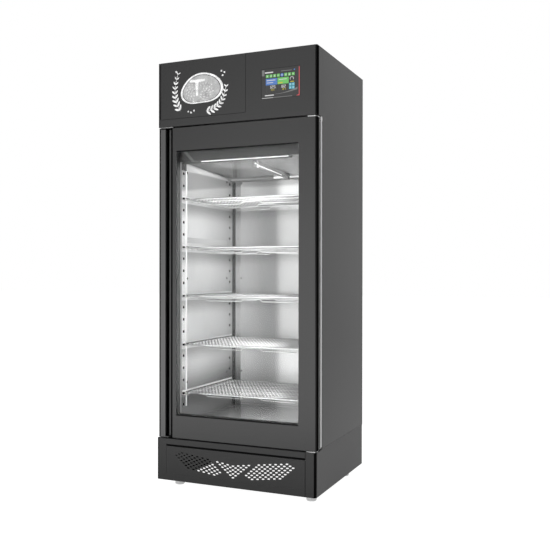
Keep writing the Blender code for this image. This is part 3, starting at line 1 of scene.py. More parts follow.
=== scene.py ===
"""Looks of an upright dry ageing cabinet: finishes, fine wire shelves, display and flap print."""

import math

import bmesh
import bpy
import numpy as np
from mathutils import Matrix, Vector


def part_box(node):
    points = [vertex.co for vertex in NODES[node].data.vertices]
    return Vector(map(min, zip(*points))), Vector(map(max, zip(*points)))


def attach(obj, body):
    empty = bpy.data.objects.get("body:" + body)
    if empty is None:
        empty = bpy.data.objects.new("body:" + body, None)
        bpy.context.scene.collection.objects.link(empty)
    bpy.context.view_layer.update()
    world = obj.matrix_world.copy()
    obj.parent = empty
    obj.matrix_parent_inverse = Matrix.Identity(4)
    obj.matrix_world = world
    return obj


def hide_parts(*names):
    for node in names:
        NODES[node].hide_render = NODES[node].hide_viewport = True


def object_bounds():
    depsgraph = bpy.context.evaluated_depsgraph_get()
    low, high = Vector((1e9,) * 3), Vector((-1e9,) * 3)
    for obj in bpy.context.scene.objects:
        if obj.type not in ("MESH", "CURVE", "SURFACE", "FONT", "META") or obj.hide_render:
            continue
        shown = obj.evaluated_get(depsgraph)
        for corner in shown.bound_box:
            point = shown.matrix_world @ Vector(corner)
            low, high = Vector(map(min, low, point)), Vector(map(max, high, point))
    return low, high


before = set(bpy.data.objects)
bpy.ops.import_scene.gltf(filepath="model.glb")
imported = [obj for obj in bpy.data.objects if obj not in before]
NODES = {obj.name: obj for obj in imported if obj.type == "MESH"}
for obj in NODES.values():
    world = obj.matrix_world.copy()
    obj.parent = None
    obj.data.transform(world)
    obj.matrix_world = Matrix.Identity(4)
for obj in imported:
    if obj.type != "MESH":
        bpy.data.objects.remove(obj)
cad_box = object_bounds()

SKIM = 0.00015


# Node trees

class Tree:
    """Short hand for adding linked nodes to a material, world or group tree."""

    def __init__(self, tree):
        self.tree = tree

    def put(self, socket, value):
        if isinstance(value, bpy.types.NodeSocket):
            self.tree.links.new(value, socket)
        elif value is not None:
            socket.default_value = value

    def add(self, kind, *ordered, **named):
        """A node: ordered values fill its sockets in turn, lower-case names are settings."""
        node = self.tree.nodes.new(kind)
        for name, value in named.items():
            if name.islower():
                setattr(node, name, value)
        for socket, value in zip(node.inputs, ordered):
            self.put(socket, value)
        for name, value in named.items():
            if not name.islower():
                self.put(node.inputs[name.replace("_", " ")], value)
        return node

    def math(self, operation, *values, clamp=False):
        return self.add("ShaderNodeMath", *values, operation=operation, use_clamp=clamp).outputs[0]

    def fold(self, operation, values):
        """One value from several, taken up one after another."""
        total, *others = values
        for value in others:
            total = self.math(operation, total, value)
        return total

    def times(self, *values):
        return self.fold("MULTIPLY", values)

    def largest(self, *values):
        return self.fold("MAXIMUM", values)

    def size(self, value):
        return self.math("ABSOLUTE", value)

    def above(self, value, limit):
        return self.math("GREATER_THAN", value, limit)

    def below(self, value, limit):
        return self.math("LESS_THAN", value, limit)

    def near(self, value, centre, reach):
        """One where a value lies within a reach of a centre, otherwise zero."""
        return self.math("COMPARE", value, centre, reach)

    def ramp(self, value, low, high, to_low=0.0, to_high=1.0):
        """A smooth step of a value between two limits."""
        return self.add("ShaderNodeMapRange", interpolation_type="SMOOTHSTEP", Value=value, From_Min=low,
                        From_Max=high, To_Min=to_low, To_Max=to_high).outputs["Result"]

    def ramps(self, *steps):
        """The product of several ramps."""
        return self.times(*(self.ramp(*step) for step in steps))

    def mix(self, share, first, second):
        node = self.add("ShaderNodeMix", data_type="RGBA")
        for index, value in ((0, share), (6, first), (7, second)):
            self.put(node.inputs[index], value)
        return node.outputs[2]

    def place(self):
        return self.add("ShaderNodeTexCoord").outputs["Object"]

    def axes(self):
        """Object coordinates as three values."""
        return self.add("ShaderNodeSeparateXYZ", self.place()).outputs

    def bump(self, height, strength, distance):
        return self.add("ShaderNodeBump", Strength=strength, Distance=distance,
                        Height=height).outputs["Normal"]


def new_group(name, inputs, outputs):
    """A shader group with named value sockets; inputs are name and default value."""
    group = bpy.data.node_groups.new(name, "ShaderNodeTree")
    for label, value in inputs:
        kind = "NodeSocketVector" if isinstance(value, tuple) else "NodeSocketFloat"
        group.interface.new_socket(label, in_out="INPUT", socket_type=kind).default_value = value
    for label in outputs:
        group.interface.new_socket(label, in_out="OUTPUT", socket_type="NodeSocketFloat")
    tree = Tree(group)
    return group, tree, tree.add("NodeGroupInput").outputs, tree.add("NodeGroupOutput").inputs


def put_noise(tree, given, out, height, noise, clamp=False):
    """A height, and the given roughness moved up and down with a noise by the given spread."""
    shift = tree.times(tree.math("SUBTRACT", noise, 0.5), given["Spread"])
    tree.put(out["Height"], height)
    tree.put(out["Roughness"], tree.math("ADD", given["Roughness"], shift, clamp=clamp))


def make_grain_group():
    """Fine orange peel of a coat or moulding, with broad faint patches in its gloss."""
    group, tree, given, out = new_group(
        "coat_grain", [("Scale", 900.0), ("Roughness", 0.3), ("Spread", 0.05)],
        ["Height", "Roughness", "Patches"])
    place = tree.place()
    peel = tree.add("ShaderNodeTexNoise", Vector=place, Scale=given["Scale"], Detail=2.0)
    patches = tree.add("ShaderNodeTexNoise", Vector=place, Scale=3.5, Detail=3.0).outputs[0]
    put_noise(tree, given, out, peel.outputs[0], patches)
    tree.put(out["Patches"], patches)
    return group


def make_brush_group():
    """Brush lines: noise stretched by unlike scales along the three axes."""
    group, tree, given, out = new_group(
        "brush_lines", [("Stretch", (900.0, 900.0, 6.0)), ("Roughness", 0.3), ("Spread", 0.2)],
        ["Height", "Roughness"])
    stretched = tree.add("ShaderNodeVectorMath", tree.place(), given["Stretch"], operation="MULTIPLY")
    lines = tree.add("ShaderNodeTexNoise", Vector=stretched.outputs[0], Scale=1.0, Detail=3.0)
    put_noise(tree, given, out, lines.outputs[0], lines.outputs[0], clamp=True)
    return group


GRAIN = make_grain_group()
BRUSH = make_brush_group()


# Materials

AXES = {"X": (1.0, 0.0, 0.0), "Y": (0.0, 1.0, 0.0), "Z": (0.0, 0.0, 1.0)}
LINE_FINENESS = 900.0
LINE_STRETCH = 7.0
PEEL_DISTANCE = 0.0003
BRUSH_DISTANCE = 0.0002


def grey(value):
    return (value, value, value, 1.0)


def dimmed(colour, share):
    return tuple(part * share for part in colour[:3]) + (1.0,)


def open_skin(material):
    """A material's tree and its shader's sockets."""
    return Tree(material.node_tree), material.node_tree.nodes["Principled BSDF"].inputs


def new_material(name, **values):
    """A material with fixed values on some sockets, its tree and its shader's sockets."""
    material = bpy.data.materials.new(name)
    material.use_nodes = True
    tree, skin = open_skin(material)
    for label, value in values.items():
        skin[label.replace("_", " ")].default_value = value
    return material, tree, skin


def effect(tree, group, **values):
    node = tree.add("ShaderNodeGroup", node_tree=group)
    for name, value in values.items():
        tree.put(node.inputs[name], value)
    return node.outputs


def coated(name, colour, roughness, peel=0.05, metallic=0.0, specular=0.5, tint=1.0):
    """Powder coat: a dark skin with a fine peel and slightly uneven gloss. Its tint is how
    light it reflects at a flat angle."""
    material, tree, skin = new_material(name, Metallic=metallic, Specular_IOR_Level=specular,
                                        Specular_Tint=grey(tint))
    grain = effect(tree, GRAIN, Scale=1400.0, Roughness=roughness, Spread=0.06)
    tree.put(skin["Base Color"], tree.mix(grain["Patches"], dimmed(colour, 0.86), colour))
    tree.put(skin["Roughness"], grain["Roughness"])
    tree.put(skin["Normal"], tree.bump(grain["Height"], peel, PEEL_DISTANCE))
    return material


def brushed(name, colour, roughness, lines="Z", smear=None, metallic=1.0, depth=0.12,
            spread=0.12, contrast=0.1):
    """Brushed metal: lines along one axis, reflections drawn out along the smear axis."""
    material, tree, skin = new_material(name, Metallic=metallic)
    stretch = tuple(LINE_STRETCH if part else LINE_FINENESS for part in AXES[lines])
    brush = effect(tree, BRUSH, Stretch=stretch, Roughness=roughness, Spread=spread)
    tree.put(skin["Base Color"], tree.mix(brush["Height"], dimmed(colour, 1 - contrast), colour))
    tree.put(skin["Roughness"], brush["Roughness"])
    tree.put(skin["Normal"], tree.bump(brush["Height"], depth, BRUSH_DISTANCE))
    if smear:
        skin["Anisotropic"].default_value = 1.0
        tree.put(skin["Tangent"], tree.add("ShaderNodeCombineXYZ", *AXES[smear]).outputs[0])
    return material


def recolour(material, share_of, colour, metallic=None):
    """Mix another colour into a finish where share_of, made from its tree, is one."""
    tree, skin = open_skin(material)
    share = share_of(tree)
    first = skin["Base Color"].links[0].from_socket
    tree.put(skin["Base Color"], tree.mix(share, first, colour))
    if metallic is not None:
        own = skin["Metallic"].default_value
        tree.put(skin["Metallic"], tree.ramp(share, 0.0, 1.0, own, metallic))
    return material


def shaded(material, light_of):
    """Painted light and shade: multiply a finish's colour by a lightness between zero and one, made from
    its tree.
    """
    tree, skin = open_skin(material)
    first = skin["Base Color"].links[0].from_socket
    tree.put(skin["Base Color"], tree.mix(light_of(tree), grey(0.0), first))
    return material


def zinc_plated(name, colour, roughness):
    """Galvanised sheet: spangle cells of slightly unlike grey."""
    material, tree, skin = new_material(name, Metallic=0.9)
    cells = tree.add("ShaderNodeTexVoronoi", Vector=tree.place(), Scale=70.0)
    tone = tree.add("ShaderNodeSeparateColor", cells.outputs["Color"]).outputs[0]
    tree.put(skin["Base Color"], tree.mix(tone, dimmed(colour, 0.8), colour))
    tree.put(skin["Roughness"], tree.ramp(tone, 0.0, 1.0, roughness - 0.06, roughness + 0.08))
    grain = effect(tree, GRAIN, Scale=500.0)
    tree.put(skin["Normal"], tree.bump(grain["Height"], 0.06, PEEL_DISTANCE))
    return material


def clear_glass(name, tint, ior):
    """Smooth glass that lets nearly all light through."""
    return new_material(name, Base_Color=tint, Roughness=0.0, IOR=ior, Transmission_Weight=1.0)[0]


def glowing(name, colour, strength):
    """A pale surface that gives a little light of its own: the lamp bar's lit slot, and painted light on
    glints, edges and feet.
    """
    material, tree, skin = new_material(name, Base_Color=colour, Emission_Color=colour,
                                        Emission_Strength=strength)
    grain = effect(tree, GRAIN, Scale=300.0, Roughness=0.35, Spread=0.05)
    tree.put(skin["Roughness"], grain["Roughness"])
    return material


def printed(name, colour, strength):
    """Ink on the flap: silver-grey crossed by fine engraved hatching."""
    material, tree, skin = new_material(name, Roughness=0.5, Emission_Strength=strength)
    place = tree.place()
    hatch = tree.add("ShaderNodeTexWave", Vector=place, Scale=95.0, Distortion=6.0, Detail=3.0,
                     wave_type="BANDS", bands_direction="DIAGONAL", wave_profile="SIN")
    cloud = tree.add("ShaderNodeTexNoise", Vector=place, Scale=42.0, Detail=4.0)
    both = tree.math("ADD", tree.times(hatch.outputs["Fac"], 0.45), cloud.outputs[0])
    shade = tree.mix(tree.ramp(both, 0.45, 0.95), dimmed(colour, 0.45), colour)
    tree.put(skin["Base Color"], shade)
    tree.put(skin["Emission Color"], shade)
    return material


def lit(name, colour):
    """A lit field of the display."""
    material, tree, skin = new_material(name, Base_Color=grey(0.01), Emission_Strength=1.0)
    grain = effect(tree, GRAIN, Scale=2500.0, Roughness=0.3, Spread=0.02)
    tree.put(skin["Roughness"], grain["Roughness"])
    tree.put(skin["Emission Color"], tree.mix(grain["Patches"], dimmed(colour, 0.85), colour))
    return material


# Where finishes, painted light and painted shade change over a piece

BLACK = grey(0.003)
STEEL = grey(0.92)
BASE_LOW, BASE_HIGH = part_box("base_frame")
GRIP_LOW, GRIP_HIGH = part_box("door_handle")
BODY_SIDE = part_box("side_wall_right")[1].x
LINING_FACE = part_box("side_lining_right")[0].x
BACK_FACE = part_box("back_lining")[0].y
SHELF_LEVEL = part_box("shelf_1")[0].z
SHELF_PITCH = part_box("shelf_2")[0].z - SHELF_LEVEL
ON_FACE = 0.0004
BASE_ROUND = (0.0108, 0.0150)
BASE_EDGE = (0.2200, 0.0026)
BASE_EDGE_END = 0.3665
BASE_SEAM = (0.3671, 0.0015)
GRIP_EDGE = 0.0085
GRIP_END = 0.0060
GRIP_WALL = 0.0550
GROOVE = (0.0390, 0.0065)
GROOVE_DEPTHS = (0.0008, 0.0020)
WINDOW_SIDES = (-0.3176, 0.3294)
WINDOW_SIDE_REACH = 0.001
SILL = (0.3665, 0.0026)
DOORWAY_SIDE = 0.3300
FRAME_AHEAD = (0.4160, -0.2925)
WALL_INSIDE = 0.36
CEILING_EDGE = (1.5120, 0.135)
WEB_GAP = 0.0008
# Sines of the wires' painted glints: turns a metre along X and Y, and a share.
WIRE_GLINT_WAVES = ((53.0, 30.0, 1.0), (3.7, -8.3, 0.6))


def base_painted_shade_and_seam(tree):
    """Painted shade in black on the base's rounded front corners and on the grille's top edge, and a dark
    seam on its face.
    """
    x, y, z = tree.axes()
    size = tree.size(x)
    corner = tree.times(tree.above(size, BASE_HIGH.x - BASE_ROUND[0]),
                        tree.below(y, BASE_LOW.y + BASE_ROUND[1]))
    edge = tree.times(tree.near(z, *BASE_EDGE), tree.below(size, BASE_EDGE_END))
    lines = tree.times(tree.largest(edge, tree.near(x, *BASE_SEAM)),
                       tree.below(y, BASE_LOW.y + ON_FACE))
    return tree.largest(corner, lines)


def base_flanks_painted_light(tree):
    """The outer faces of the base's two sides, painted lighter as lit sides."""
    return tree.above(tree.size(tree.axes()[0]), BASE_HIGH.x - ON_FACE)


def grip_painted_shade(tree):
    """Painted shade on the grip: its left edge, its top end, the groove's left half and its right wall,
    in black.
    """
    x, y, z = tree.axes()
    groove = tree.times(tree.near(x, GRIP_LOW.x + GROOVE[0], GROOVE[1]),
                        tree.above(y, GRIP_LOW.y + GROOVE_DEPTHS[0]))
    return tree.largest(tree.below(x, GRIP_LOW.x + GRIP_EDGE), tree.above(z, GRIP_HIGH.z - GRIP_END),
                        tree.above(x, GRIP_LOW.x + GRIP_WALL), groove)


def groove_floor_painted_shade(tree):
    """The floor of the grip's groove, painted darker as shade in the recess."""
    return tree.above(tree.axes()[1], GRIP_LOW.y + GROOVE_DEPTHS[1])


def window_reveal_painted_light(tree):
    """The two upright faces of the window's opening, behind the door's face, painted paler as light from
    the lit interior.
    """
    x, y, _ = tree.axes()
    sides = tree.largest(*(tree.near(x, side, WINDOW_SIDE_REACH) for side in WINDOW_SIDES))
    return tree.times(sides, tree.above(y, GRIP_LOW.y + 2 * SKIM))


def opening_painted_light(tree):
    """Painted light and shade on an opening's side faces: dark at the top, fading again to the floor."""
    z = tree.axes()[2]
    return tree.ramps((z, 1.618, 1.555, 0.20, 1.0), (z, 0.34, 0.66, 0.46, 1.0))


def sill_painted_shadow(tree):
    """The narrow edge of the door's face under the window, painted black as shadow."""
    x, _, z = tree.axes()
    left, right = WINDOW_SIDES
    return tree.times(tree.near(z, *SILL), tree.near(x, (left + right) / 2, (right - left) / 2))


def inner_frame_painted_shade(tree):
    """The inner faces of the ring that the door shuts against, painted darker as shade."""
    return tree.below(tree.size(tree.axes()[0]), DOORWAY_SIDE)


def frame_front_painted_shadow(tree):
    """The ring's outer faces next to the door, painted dark as the door's shadow."""
    x, y, _ = tree.axes()
    return tree.times(tree.above(tree.size(x), FRAME_AHEAD[0]), tree.below(y, FRAME_AHEAD[1]))


def bay_drop(tree):
    """Distance down from the shelf above, which starts again at every shelf."""
    drop = tree.math("SUBTRACT", SHELF_LEVEL, tree.axes()[2])
    return tree.math("FLOORED_MODULO", drop, SHELF_PITCH)


def lining_painted_shade(tree):
    """Painted soft shade on the side linings: round each shelf, near the floor, to the rear, and above a
    slanting edge under the ceiling."""
    _, y, z = tree.axes()
    drop = bay_drop(tree)
    edge = tree.math("ADD", CEILING_EDGE[0], tree.times(y, CEILING_EDGE[1]))
    return tree.ramps((drop, 0.0, 0.090, 0.52, 1.0), (drop, 0.180, SHELF_PITCH, 1.0, 0.80),
                      (z, 0.44, 0.66, 0.30, 1.0), (y, -0.20, 0.14, 1.0, 0.66),
                      (tree.math("SUBTRACT", z, edge), -0.012, 0.010, 1.0, 0.62))


def back_lining_painted_shade(tree):
    """Painted soft shade and light on the back lining: a dark field left of a lighter right part, darker
    under the shelves and in the middle bays than in the top and bottom ones."""
    x, _, z = tree.axes()
    across = tree.ramp(x, -0.32, -0.095, 0.78, 0.39)
    light = tree.times(tree.ramp(x, -0.078, -0.026), tree.math("SUBTRACT", 0.60, across))
    levels = tree.ramps((bay_drop(tree), 0.0, 0.075, 0.74, 1.0), (z, 1.40, 1.46, 1.0, 1.70),
                        (z, 1.535, 1.560, 1.0, 0.66), (z, 0.69, 0.60, 1.0, 1.45),
                        (z, 0.44, 0.57, 0.74, 1.0))
    return tree.times(tree.math("ADD", across, light), levels)


def wire_painted_glints(tree):
    """Painted light and dark in turn along the shelf wires, standing in for glints: a sum of sines,
    each with its turns a metre along X and Y and its share."""
    x, y, _ = tree.axes()
    total = 0.0
    for turns_x, turns_y, share in WIRE_GLINT_WAVES:
        turn = tree.math("ADD", tree.times(x, 2 * math.pi * turns_x),
                         tree.times(y, 2 * math.pi * turns_y))
        total = tree.math("ADD", total, tree.times(tree.math("SINE", turn), share))
    return tree.ramp(total, -0.7, 0.7, 0.22, 1.0)


def floor_painted_shade(tree):
    """Painted shade on the floor: its left part in shade, its right part lighter."""
    return tree.ramp(tree.axes()[0], -0.06, 0.03, 0.80, 1.0)


def wall_inside(tree):
    """The inner face of a side wall."""
    return tree.below(tree.size(tree.axes()[0]), WALL_INSIDE)


def web_painted_shade(tree):
    """The slanting face of a rear upright, between its two flat faces, painted dark as shade."""
    x, y, _ = tree.axes()
    return tree.times(tree.below(tree.size(x), LINING_FACE - WEB_GAP),
                      tree.below(y, BACK_FACE - WEB_GAP))


FINISHES = {
    "coat": coated("satin_anthracite", grey(0.012), 0.26),
    # Base coat with painted light on its sides and painted black shade on its front corners and over the
    # grille; the seam is a dark joint.
    "base": recolour(recolour(coated("base_anthracite", grey(0.046), 0.30, specular=0.15),
                              base_flanks_painted_light, grey(0.098)), base_painted_shade_and_seam, BLACK, 1.0),
    # Door coat with painted light on the window's upright sides and a painted black shadow under the
    # window.
    "door": recolour(recolour(coated("door_anthracite", grey(0.012), 0.26), window_reveal_painted_light,
                              grey(0.30)), sill_painted_shadow, BLACK, 1.0),
    # Painted shadow on the rounded front corners.
    "corner_dark": coated("corner_shadow", grey(0.014), 0.4, 0.02, 1.0, tint=0.0),
    "wall": recolour(coated("wall_anthracite", grey(0.014), 0.26), wall_inside, grey(0.60)),
    # Handle coat with painted shade: a darker groove floor, and black on its edges, the groove's left
    # half and its right wall.
    "handle": recolour(recolour(coated("handle_satin", grey(0.088), 0.32, metallic=0.6),
                                groove_floor_painted_shade, grey(0.065)), grip_painted_shade, BLACK, 1.0),
    # Frame steel with painted shade on its inner faces and painted shadow on its faces next to the door.
    "frame": recolour(recolour(brushed("frame_steel", grey(0.88), 0.36, "Z", None, 0.5),
                               inner_frame_painted_shade, grey(0.36)), frame_front_painted_shadow, grey(0.06)),
    # Lining steel darkened by painted soft shade.
    "side": shaded(brushed("side_steel", STEEL, 0.34, "Y", "Z", 0.6, 0.04, 0.05, 0.05),
                   lining_painted_shade),
    # Back steel with painted soft shade and a painted lighter right part.
    "back": shaded(brushed("back_steel", STEEL, 0.30, "X", "Z", 0.6, 0.04, 0.05, 0.05),
                   back_lining_painted_shade),
    # Rear upright steel with its slanting web painted dark as shade, under the linings' painted soft
    # shade.
    "corner": shaded(recolour(brushed("corner_steel", grey(0.95), 0.34, "Z", None, 0.6, 0.04, 0.05,
                                      0.05), web_painted_shade, grey(0.090), 0.2), lining_painted_shade),
    # Cooler cover steel, darker than the linings' steel as painted shade under the ceiling.
    "level": brushed("cover_steel_painted_shade", grey(0.52), 0.26, "X", "Y", 0.8, 0.05, 0.06, 0.08),
    # Floor steel with painted shade on its left part.
    "floor": shaded(brushed("floor_steel", grey(0.92), 0.26, "X", "Y", 0.8, 0.05, 0.06, 0.08),
                    floor_painted_shade),
    "bright": brushed("bright_steel", grey(0.88), 0.20, "Y", None, 0.9, 0.02, 0.05, 0.05),
    # Wire steel with painted glints, light and dark in turn.
    "wire": shaded(brushed("wire_glint_steel", grey(0.95), 0.25, "Y", None, 0.5, 0.02, 0.05, 0.05),
                   wire_painted_glints),
    "zinc": zinc_plated("galvanised_sheet", grey(0.55), 0.42),
    "aluminium": brushed("plain_aluminium", grey(0.66), 0.34, "Z", None, 1.0, 0.1),
    "plastic": coated("black_moulding", grey(0.012), 0.42, 0.12),
    # Door liner with painted light on the window's sides, under painted shade dark at the top and fading
    # to the floor.
    "liner": shaded(recolour(coated("door_liner", grey(0.012), 0.45, 0.08), window_reveal_painted_light,
                             grey(0.24)), opening_painted_light),
    "rubber": coated("seal_rubber", grey(0.02), 0.7, 0.1, specular=0.3),
    "glass": clear_glass("door_glass", (0.995, 0.998, 0.997, 1.0), 1.12),
    "screen": coated("screen_glass", grey(0.02), 0.1, 0.0),
    "lamp": coated("lamp_body", grey(0.16), 0.4),
    "lamp_line": glowing("lamp_line", grey(1.0), 0.72),
    # Tube lamp body in a darker grey, painted shade.
    "tube": brushed("tube_body_painted_shade", grey(0.30), 0.22, "X", None, 0.3, 0.2, 0.1, 0.3),
    # Painted highlights that glow though they are no lamp: glints on the tube lamp and a strip behind the
    # cooler.
    "glint": glowing("tube_glint", grey(1.0), 0.5),
    "copper": brushed("drawn_copper", (0.72, 0.36, 0.22, 1.0), 0.28, "Y", None, 1.0, 0.05),
    "machine": coated("black_enamel", grey(0.018), 0.35, 0.08),
    # Black: dark seams and screw heads, and painted shade in slots, behind the grille, beside the shelves
    # and at the window's edges.
    "slot": coated("slot_dark", BLACK, 0.6, 0.1, specular=0.05),
    # Painted highlight on the front uprights' rear edges, glowing though it is no lamp.
    "edge": glowing("edge_painted_highlight", grey(0.97), 0.22),
    "rail": brushed("rail_steel", grey(0.92), 0.4, "Y", None, 0.2, 0.04, 0.06, 0.06),
    # Painted light: the feet glow though they are no lamp.
    "foot": glowing("foot_painted_glow", grey(0.88), 0.09),
    "band": brushed("band_steel", grey(0.70), 0.34, "Y", "Z", 0.6, 0.04, 0.05, 0.05),
    # Grey: the back screw heads, and painted shade in the back flanges' slots.
    "slot_pale": coated("slot_grey", grey(0.30), 0.6, 0.1, specular=0.2),
    # Painted shade: the dark header cover over the doorway and the dark blocks above the uprights.
    "header": coated("header_shade_cover", grey(0.075), 0.42, 0.06),
    # A paler slanting band at the header's left end.
    "slanted_band": coated("header_slant", grey(0.20), 0.4, 0.06),
    # Painted light: the pale cap on the grip's top.
    "cap": coated("handle_cap", grey(0.22), 0.4, 0.06),
    # Painted highlights at the hinge end and on the frame's top ear.
    "plate": coated("hinge_strip_highlight", grey(0.85), 0.3, 0.02),
    "print_light": printed("print_light", grey(0.85), 0.10),
    "print_mid": printed("print_mid", grey(0.45), 0.04),
    "lit_red": lit("lit_red", (0.672, 0.080, 0.093, 1.0)),
    "lit_green": lit("lit_green", (0.144, 0.521, 0.112, 1.0)),
    "lit_blue": lit("lit_blue", (0.069, 0.188, 0.527, 1.0)),
    "lit_cyan": lit("lit_cyan", (0.098, 0.456, 0.578, 1.0)),
    "lit_yellow": lit("lit_yellow", (0.578, 0.479, 0.03, 1.0)),
    "lit_white": lit("lit_white", grey(0.68)),
    "lit_grey": lit("lit_grey", grey(0.16)),
    "lit_dim": lit("lit_dim", grey(0.018)),
}

NODE_FINISH = {
    "coat": ["fascia", "service_flap"],
    "door": ["door_skin"],
    "base": ["base_frame", "base_grille"],
    "wall": ["side_wall_left", "side_wall_right"],
    "handle": ["door_handle"],
    "frame": ["front_frame"],
    "side": ["upright_front_left", "upright_front_right", "side_lining_left",
             "side_lining_right"],
    "corner": ["upright_rear_left", "upright_rear_right"],
    "back": ["back_lining"],
    "level": ["cooler_cover"],
    "floor": ["floor_slab"],
    "bright": ["hinge_bracket_top", "hinge_bracket_bottom"],
    "foot": ["foot_front_left", "foot_front_right", "foot_rear_left", "foot_rear_right"],
    "zinc": ["rear_wall", "ceiling_slab", "unit_tray", "condenser_fan_shroud", "control_box"],
    "aluminium": ["evaporator_coil", "condenser_coil"],
    "plastic": ["display_housing", "condenser_fan", "evaporator_fan"],
    "liner": ["door_inner_frame", "glass_spacer"],
    "rubber": ["door_gasket"],
    "glass": ["door_glass_outer", "door_glass_inner"],
    "screen": ["display_screen"],
    "lamp": ["led_strip"],
    "tube": ["tube_lamp"],
    "copper": ["discharge_pipe"],
    "machine": ["compressor", "condenser_fan_motor"],
}


def dress_nodes():
    """Each solid's finish; the shelves' runners and the shelves aren't in the table."""
    finish_of = {node: name for name, nodes in NODE_FINISH.items() for node in nodes}
    for name, node in NODES.items():
        finish = finish_of.get(name, "rail" if "runner" in name else "bright")
        node.data.materials.clear()
        node.data.materials.append(FINISHES[finish])


# Mesh helpers

LEAST_HALF_BEND = 0.3
SHARP_ANGLE = 40


def grid_faces(rows, columns, around=True):
    """Quads of a grid of points, row by row, whose columns close on themselves if around."""
    last = columns if around else columns - 1
    row, column = np.mgrid[0:rows - 1, 0:last]
    following = (column + 1) % columns
    corners = [row * columns + column, row * columns + following,
               (row + 1) * columns + following, (row + 1) * columns + column]
    return np.stack(corners, axis=-1).reshape(-1, 4)


def build_mesh(name, parts):
    """One mesh from several (points, faces) parts, with outward faces."""
    points, faces, start = [], [], 0
    for vertices, polygons in parts:
        points.append(np.asarray(vertices, float).reshape(-1, 3))
        faces += [[start + int(i) for i in polygon] for polygon in polygons]
        start += len(points[-1])
    mesh = bpy.data.meshes.new(name)
    mesh.from_pydata(np.concatenate(points).tolist(), [], faces)
    mesh.validate()
    form = bmesh.new()
    form.from_mesh(mesh)
    bmesh.ops.recalc_face_normals(form, faces=form.faces)
    form.to_mesh(mesh)
    form.free()
    return mesh


def link_new(name, data):
    """A new object that carries a mesh, a lamp or a camera."""
    thing = bpy.data.objects.new(name, data)
    bpy.context.scene.collection.objects.link(thing)
    return thing


def add_piece(name, parts, finish, body="cabinet", smooth=False):
    """A piece of several (points, faces) parts that rides on a body and takes one of the finishes."""
    mesh = build_mesh(name, parts)
    if smooth:
        mesh.shade_smooth()
        mesh.set_sharp_from_angle(angle=math.radians(SHARP_ANGLE))
    piece = link_new(name, mesh)
    mesh.materials.append(FINISHES[finish])
    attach(piece, body)
    return piece


def at(x, y, z):
    """Points from three arrays or numbers, one row to a point."""
    return np.stack(np.broadcast_arrays(x, y, z), axis=-1).astype(float)


def unit(rows):
    """Each row of an array drawn to a length of one."""
    return rows / np.linalg.norm(rows, axis=1, keepdims=True)


def full_turn(sides):
    """As many turns as sides, evenly round a full circle."""
    return np.linspace(0, 2 * math.pi, sides, endpoint=False)


def circle(turn, radius=1.0, centre=(0.0, 0.0)):
    """Points of a circle, or of an arc of it, from an array of turns."""
    return centre + radius * np.column_stack([np.cos(turn), np.sin(turn)])


def tube(path, radius, sides=8, closed=False):
    """A circle carried along a path of points: each ring lies in the plane that halves the
    bend, spanned by the mean of the neighbouring directions and a fixed up vector."""
    first, last = (path[-1:], path[:1]) if closed else (path[:1] * 2 - path[1:2],
                                                        path[-1:] * 2 - path[-2:-1])
    steps = unit(np.diff(path, axis=0, prepend=first, append=last))
    along = unit(steps[:-1] + steps[1:])
    up = np.eye(3)[int(np.argmin(np.ptp(path, axis=0)))]
    side = unit(np.cross(along, up))
    stretch = 1 / np.maximum(np.einsum("ij,ij->i", along, steps[1:]), LEAST_HALF_BEND)
    across, rise = radius * circle(full_turn(sides)).T[:, None, :, None]
    rings = path[:, None] + across * (side * stretch[:, None])[:, None] + rise * up
    count = len(path)
    if closed:
        rings = np.concatenate([rings, rings[:1]])
        faces = grid_faces(count + 1, sides) % (count * sides)
        return rings[:-1].reshape(-1, 3), faces.tolist()
    caps = [list(range(sides))[::-1], list(range((count - 1) * sides, count * sides))]
    return rings.reshape(-1, 3), grid_faces(count, sides).tolist() + caps


def straight_tubes(starts, ends, radius, sides=8):
    """Many straight round bars at once, from arrays of their two end points."""
    starts, ends = np.asarray(starts, float), np.asarray(ends, float)
    along = unit(ends - starts)
    up = np.where(np.abs(along[:, 2:]) > 0.9, [[1.0, 0, 0]], [[0, 0, 1.0]])
    side = np.cross(along, up)
    across, rise = radius * circle(full_turn(sides)).T[:, None, :, None]
    ring = across * side[:, None] + rise * np.cross(side, along)[:, None]
    points = np.stack([starts[:, None] + ring, ends[:, None] + ring], axis=1)
    count = len(starts)
    base = (np.arange(count) * 2 * sides)[:, None, None]
    walls = (grid_faces(2, sides)[None] + base).reshape(-1, 4)
    low = np.arange(sides)[::-1][None] + base[:, 0]
    high = np.arange(sides, 2 * sides)[None] + base[:, 0]
    return points.reshape(-1, 3), walls.tolist() + low.tolist() + high.tolist()


def boxes(low, high):
    """Many boxes at once, from arrays of their lowest and highest corners."""
    low, high = np.atleast_2d(low).astype(float), np.atleast_2d(high).astype(float)
    corner = np.array([[0, 0, 0], [1, 0, 0], [1, 1, 0], [0, 1, 0],
                       [0, 0, 1], [1, 0, 1], [1, 1, 1], [0, 1, 1]])
    points = low[:, None] + (high - low)[:, None] * corner[None]
    faces = np.array([[0, 3, 2, 1], [4, 5, 6, 7], [0, 1, 5, 4], [1, 2, 6, 5], [2, 3, 7, 6],
                      [3, 0, 4, 7]])
    base = (np.arange(len(low)) * 8)[:, None, None]
    return points.reshape(-1, 3), (faces[None] + base).reshape(-1, 4).tolist()


def both_sides(low, high):
    """The same boxes on the right of the middle plane and mirrored to its left."""
    low, high = np.atleast_2d(low).astype(float), np.atleast_2d(high).astype(float)
    mirror = np.array((-1.0, 1.0, 1.0))
    left_low, left_high = low * mirror, high * mirror
    left_low[:, 0], left_high[:, 0] = -high[:, 0], -low[:, 0]
    return boxes(np.concatenate([left_low, low]), np.concatenate([left_high, high]))


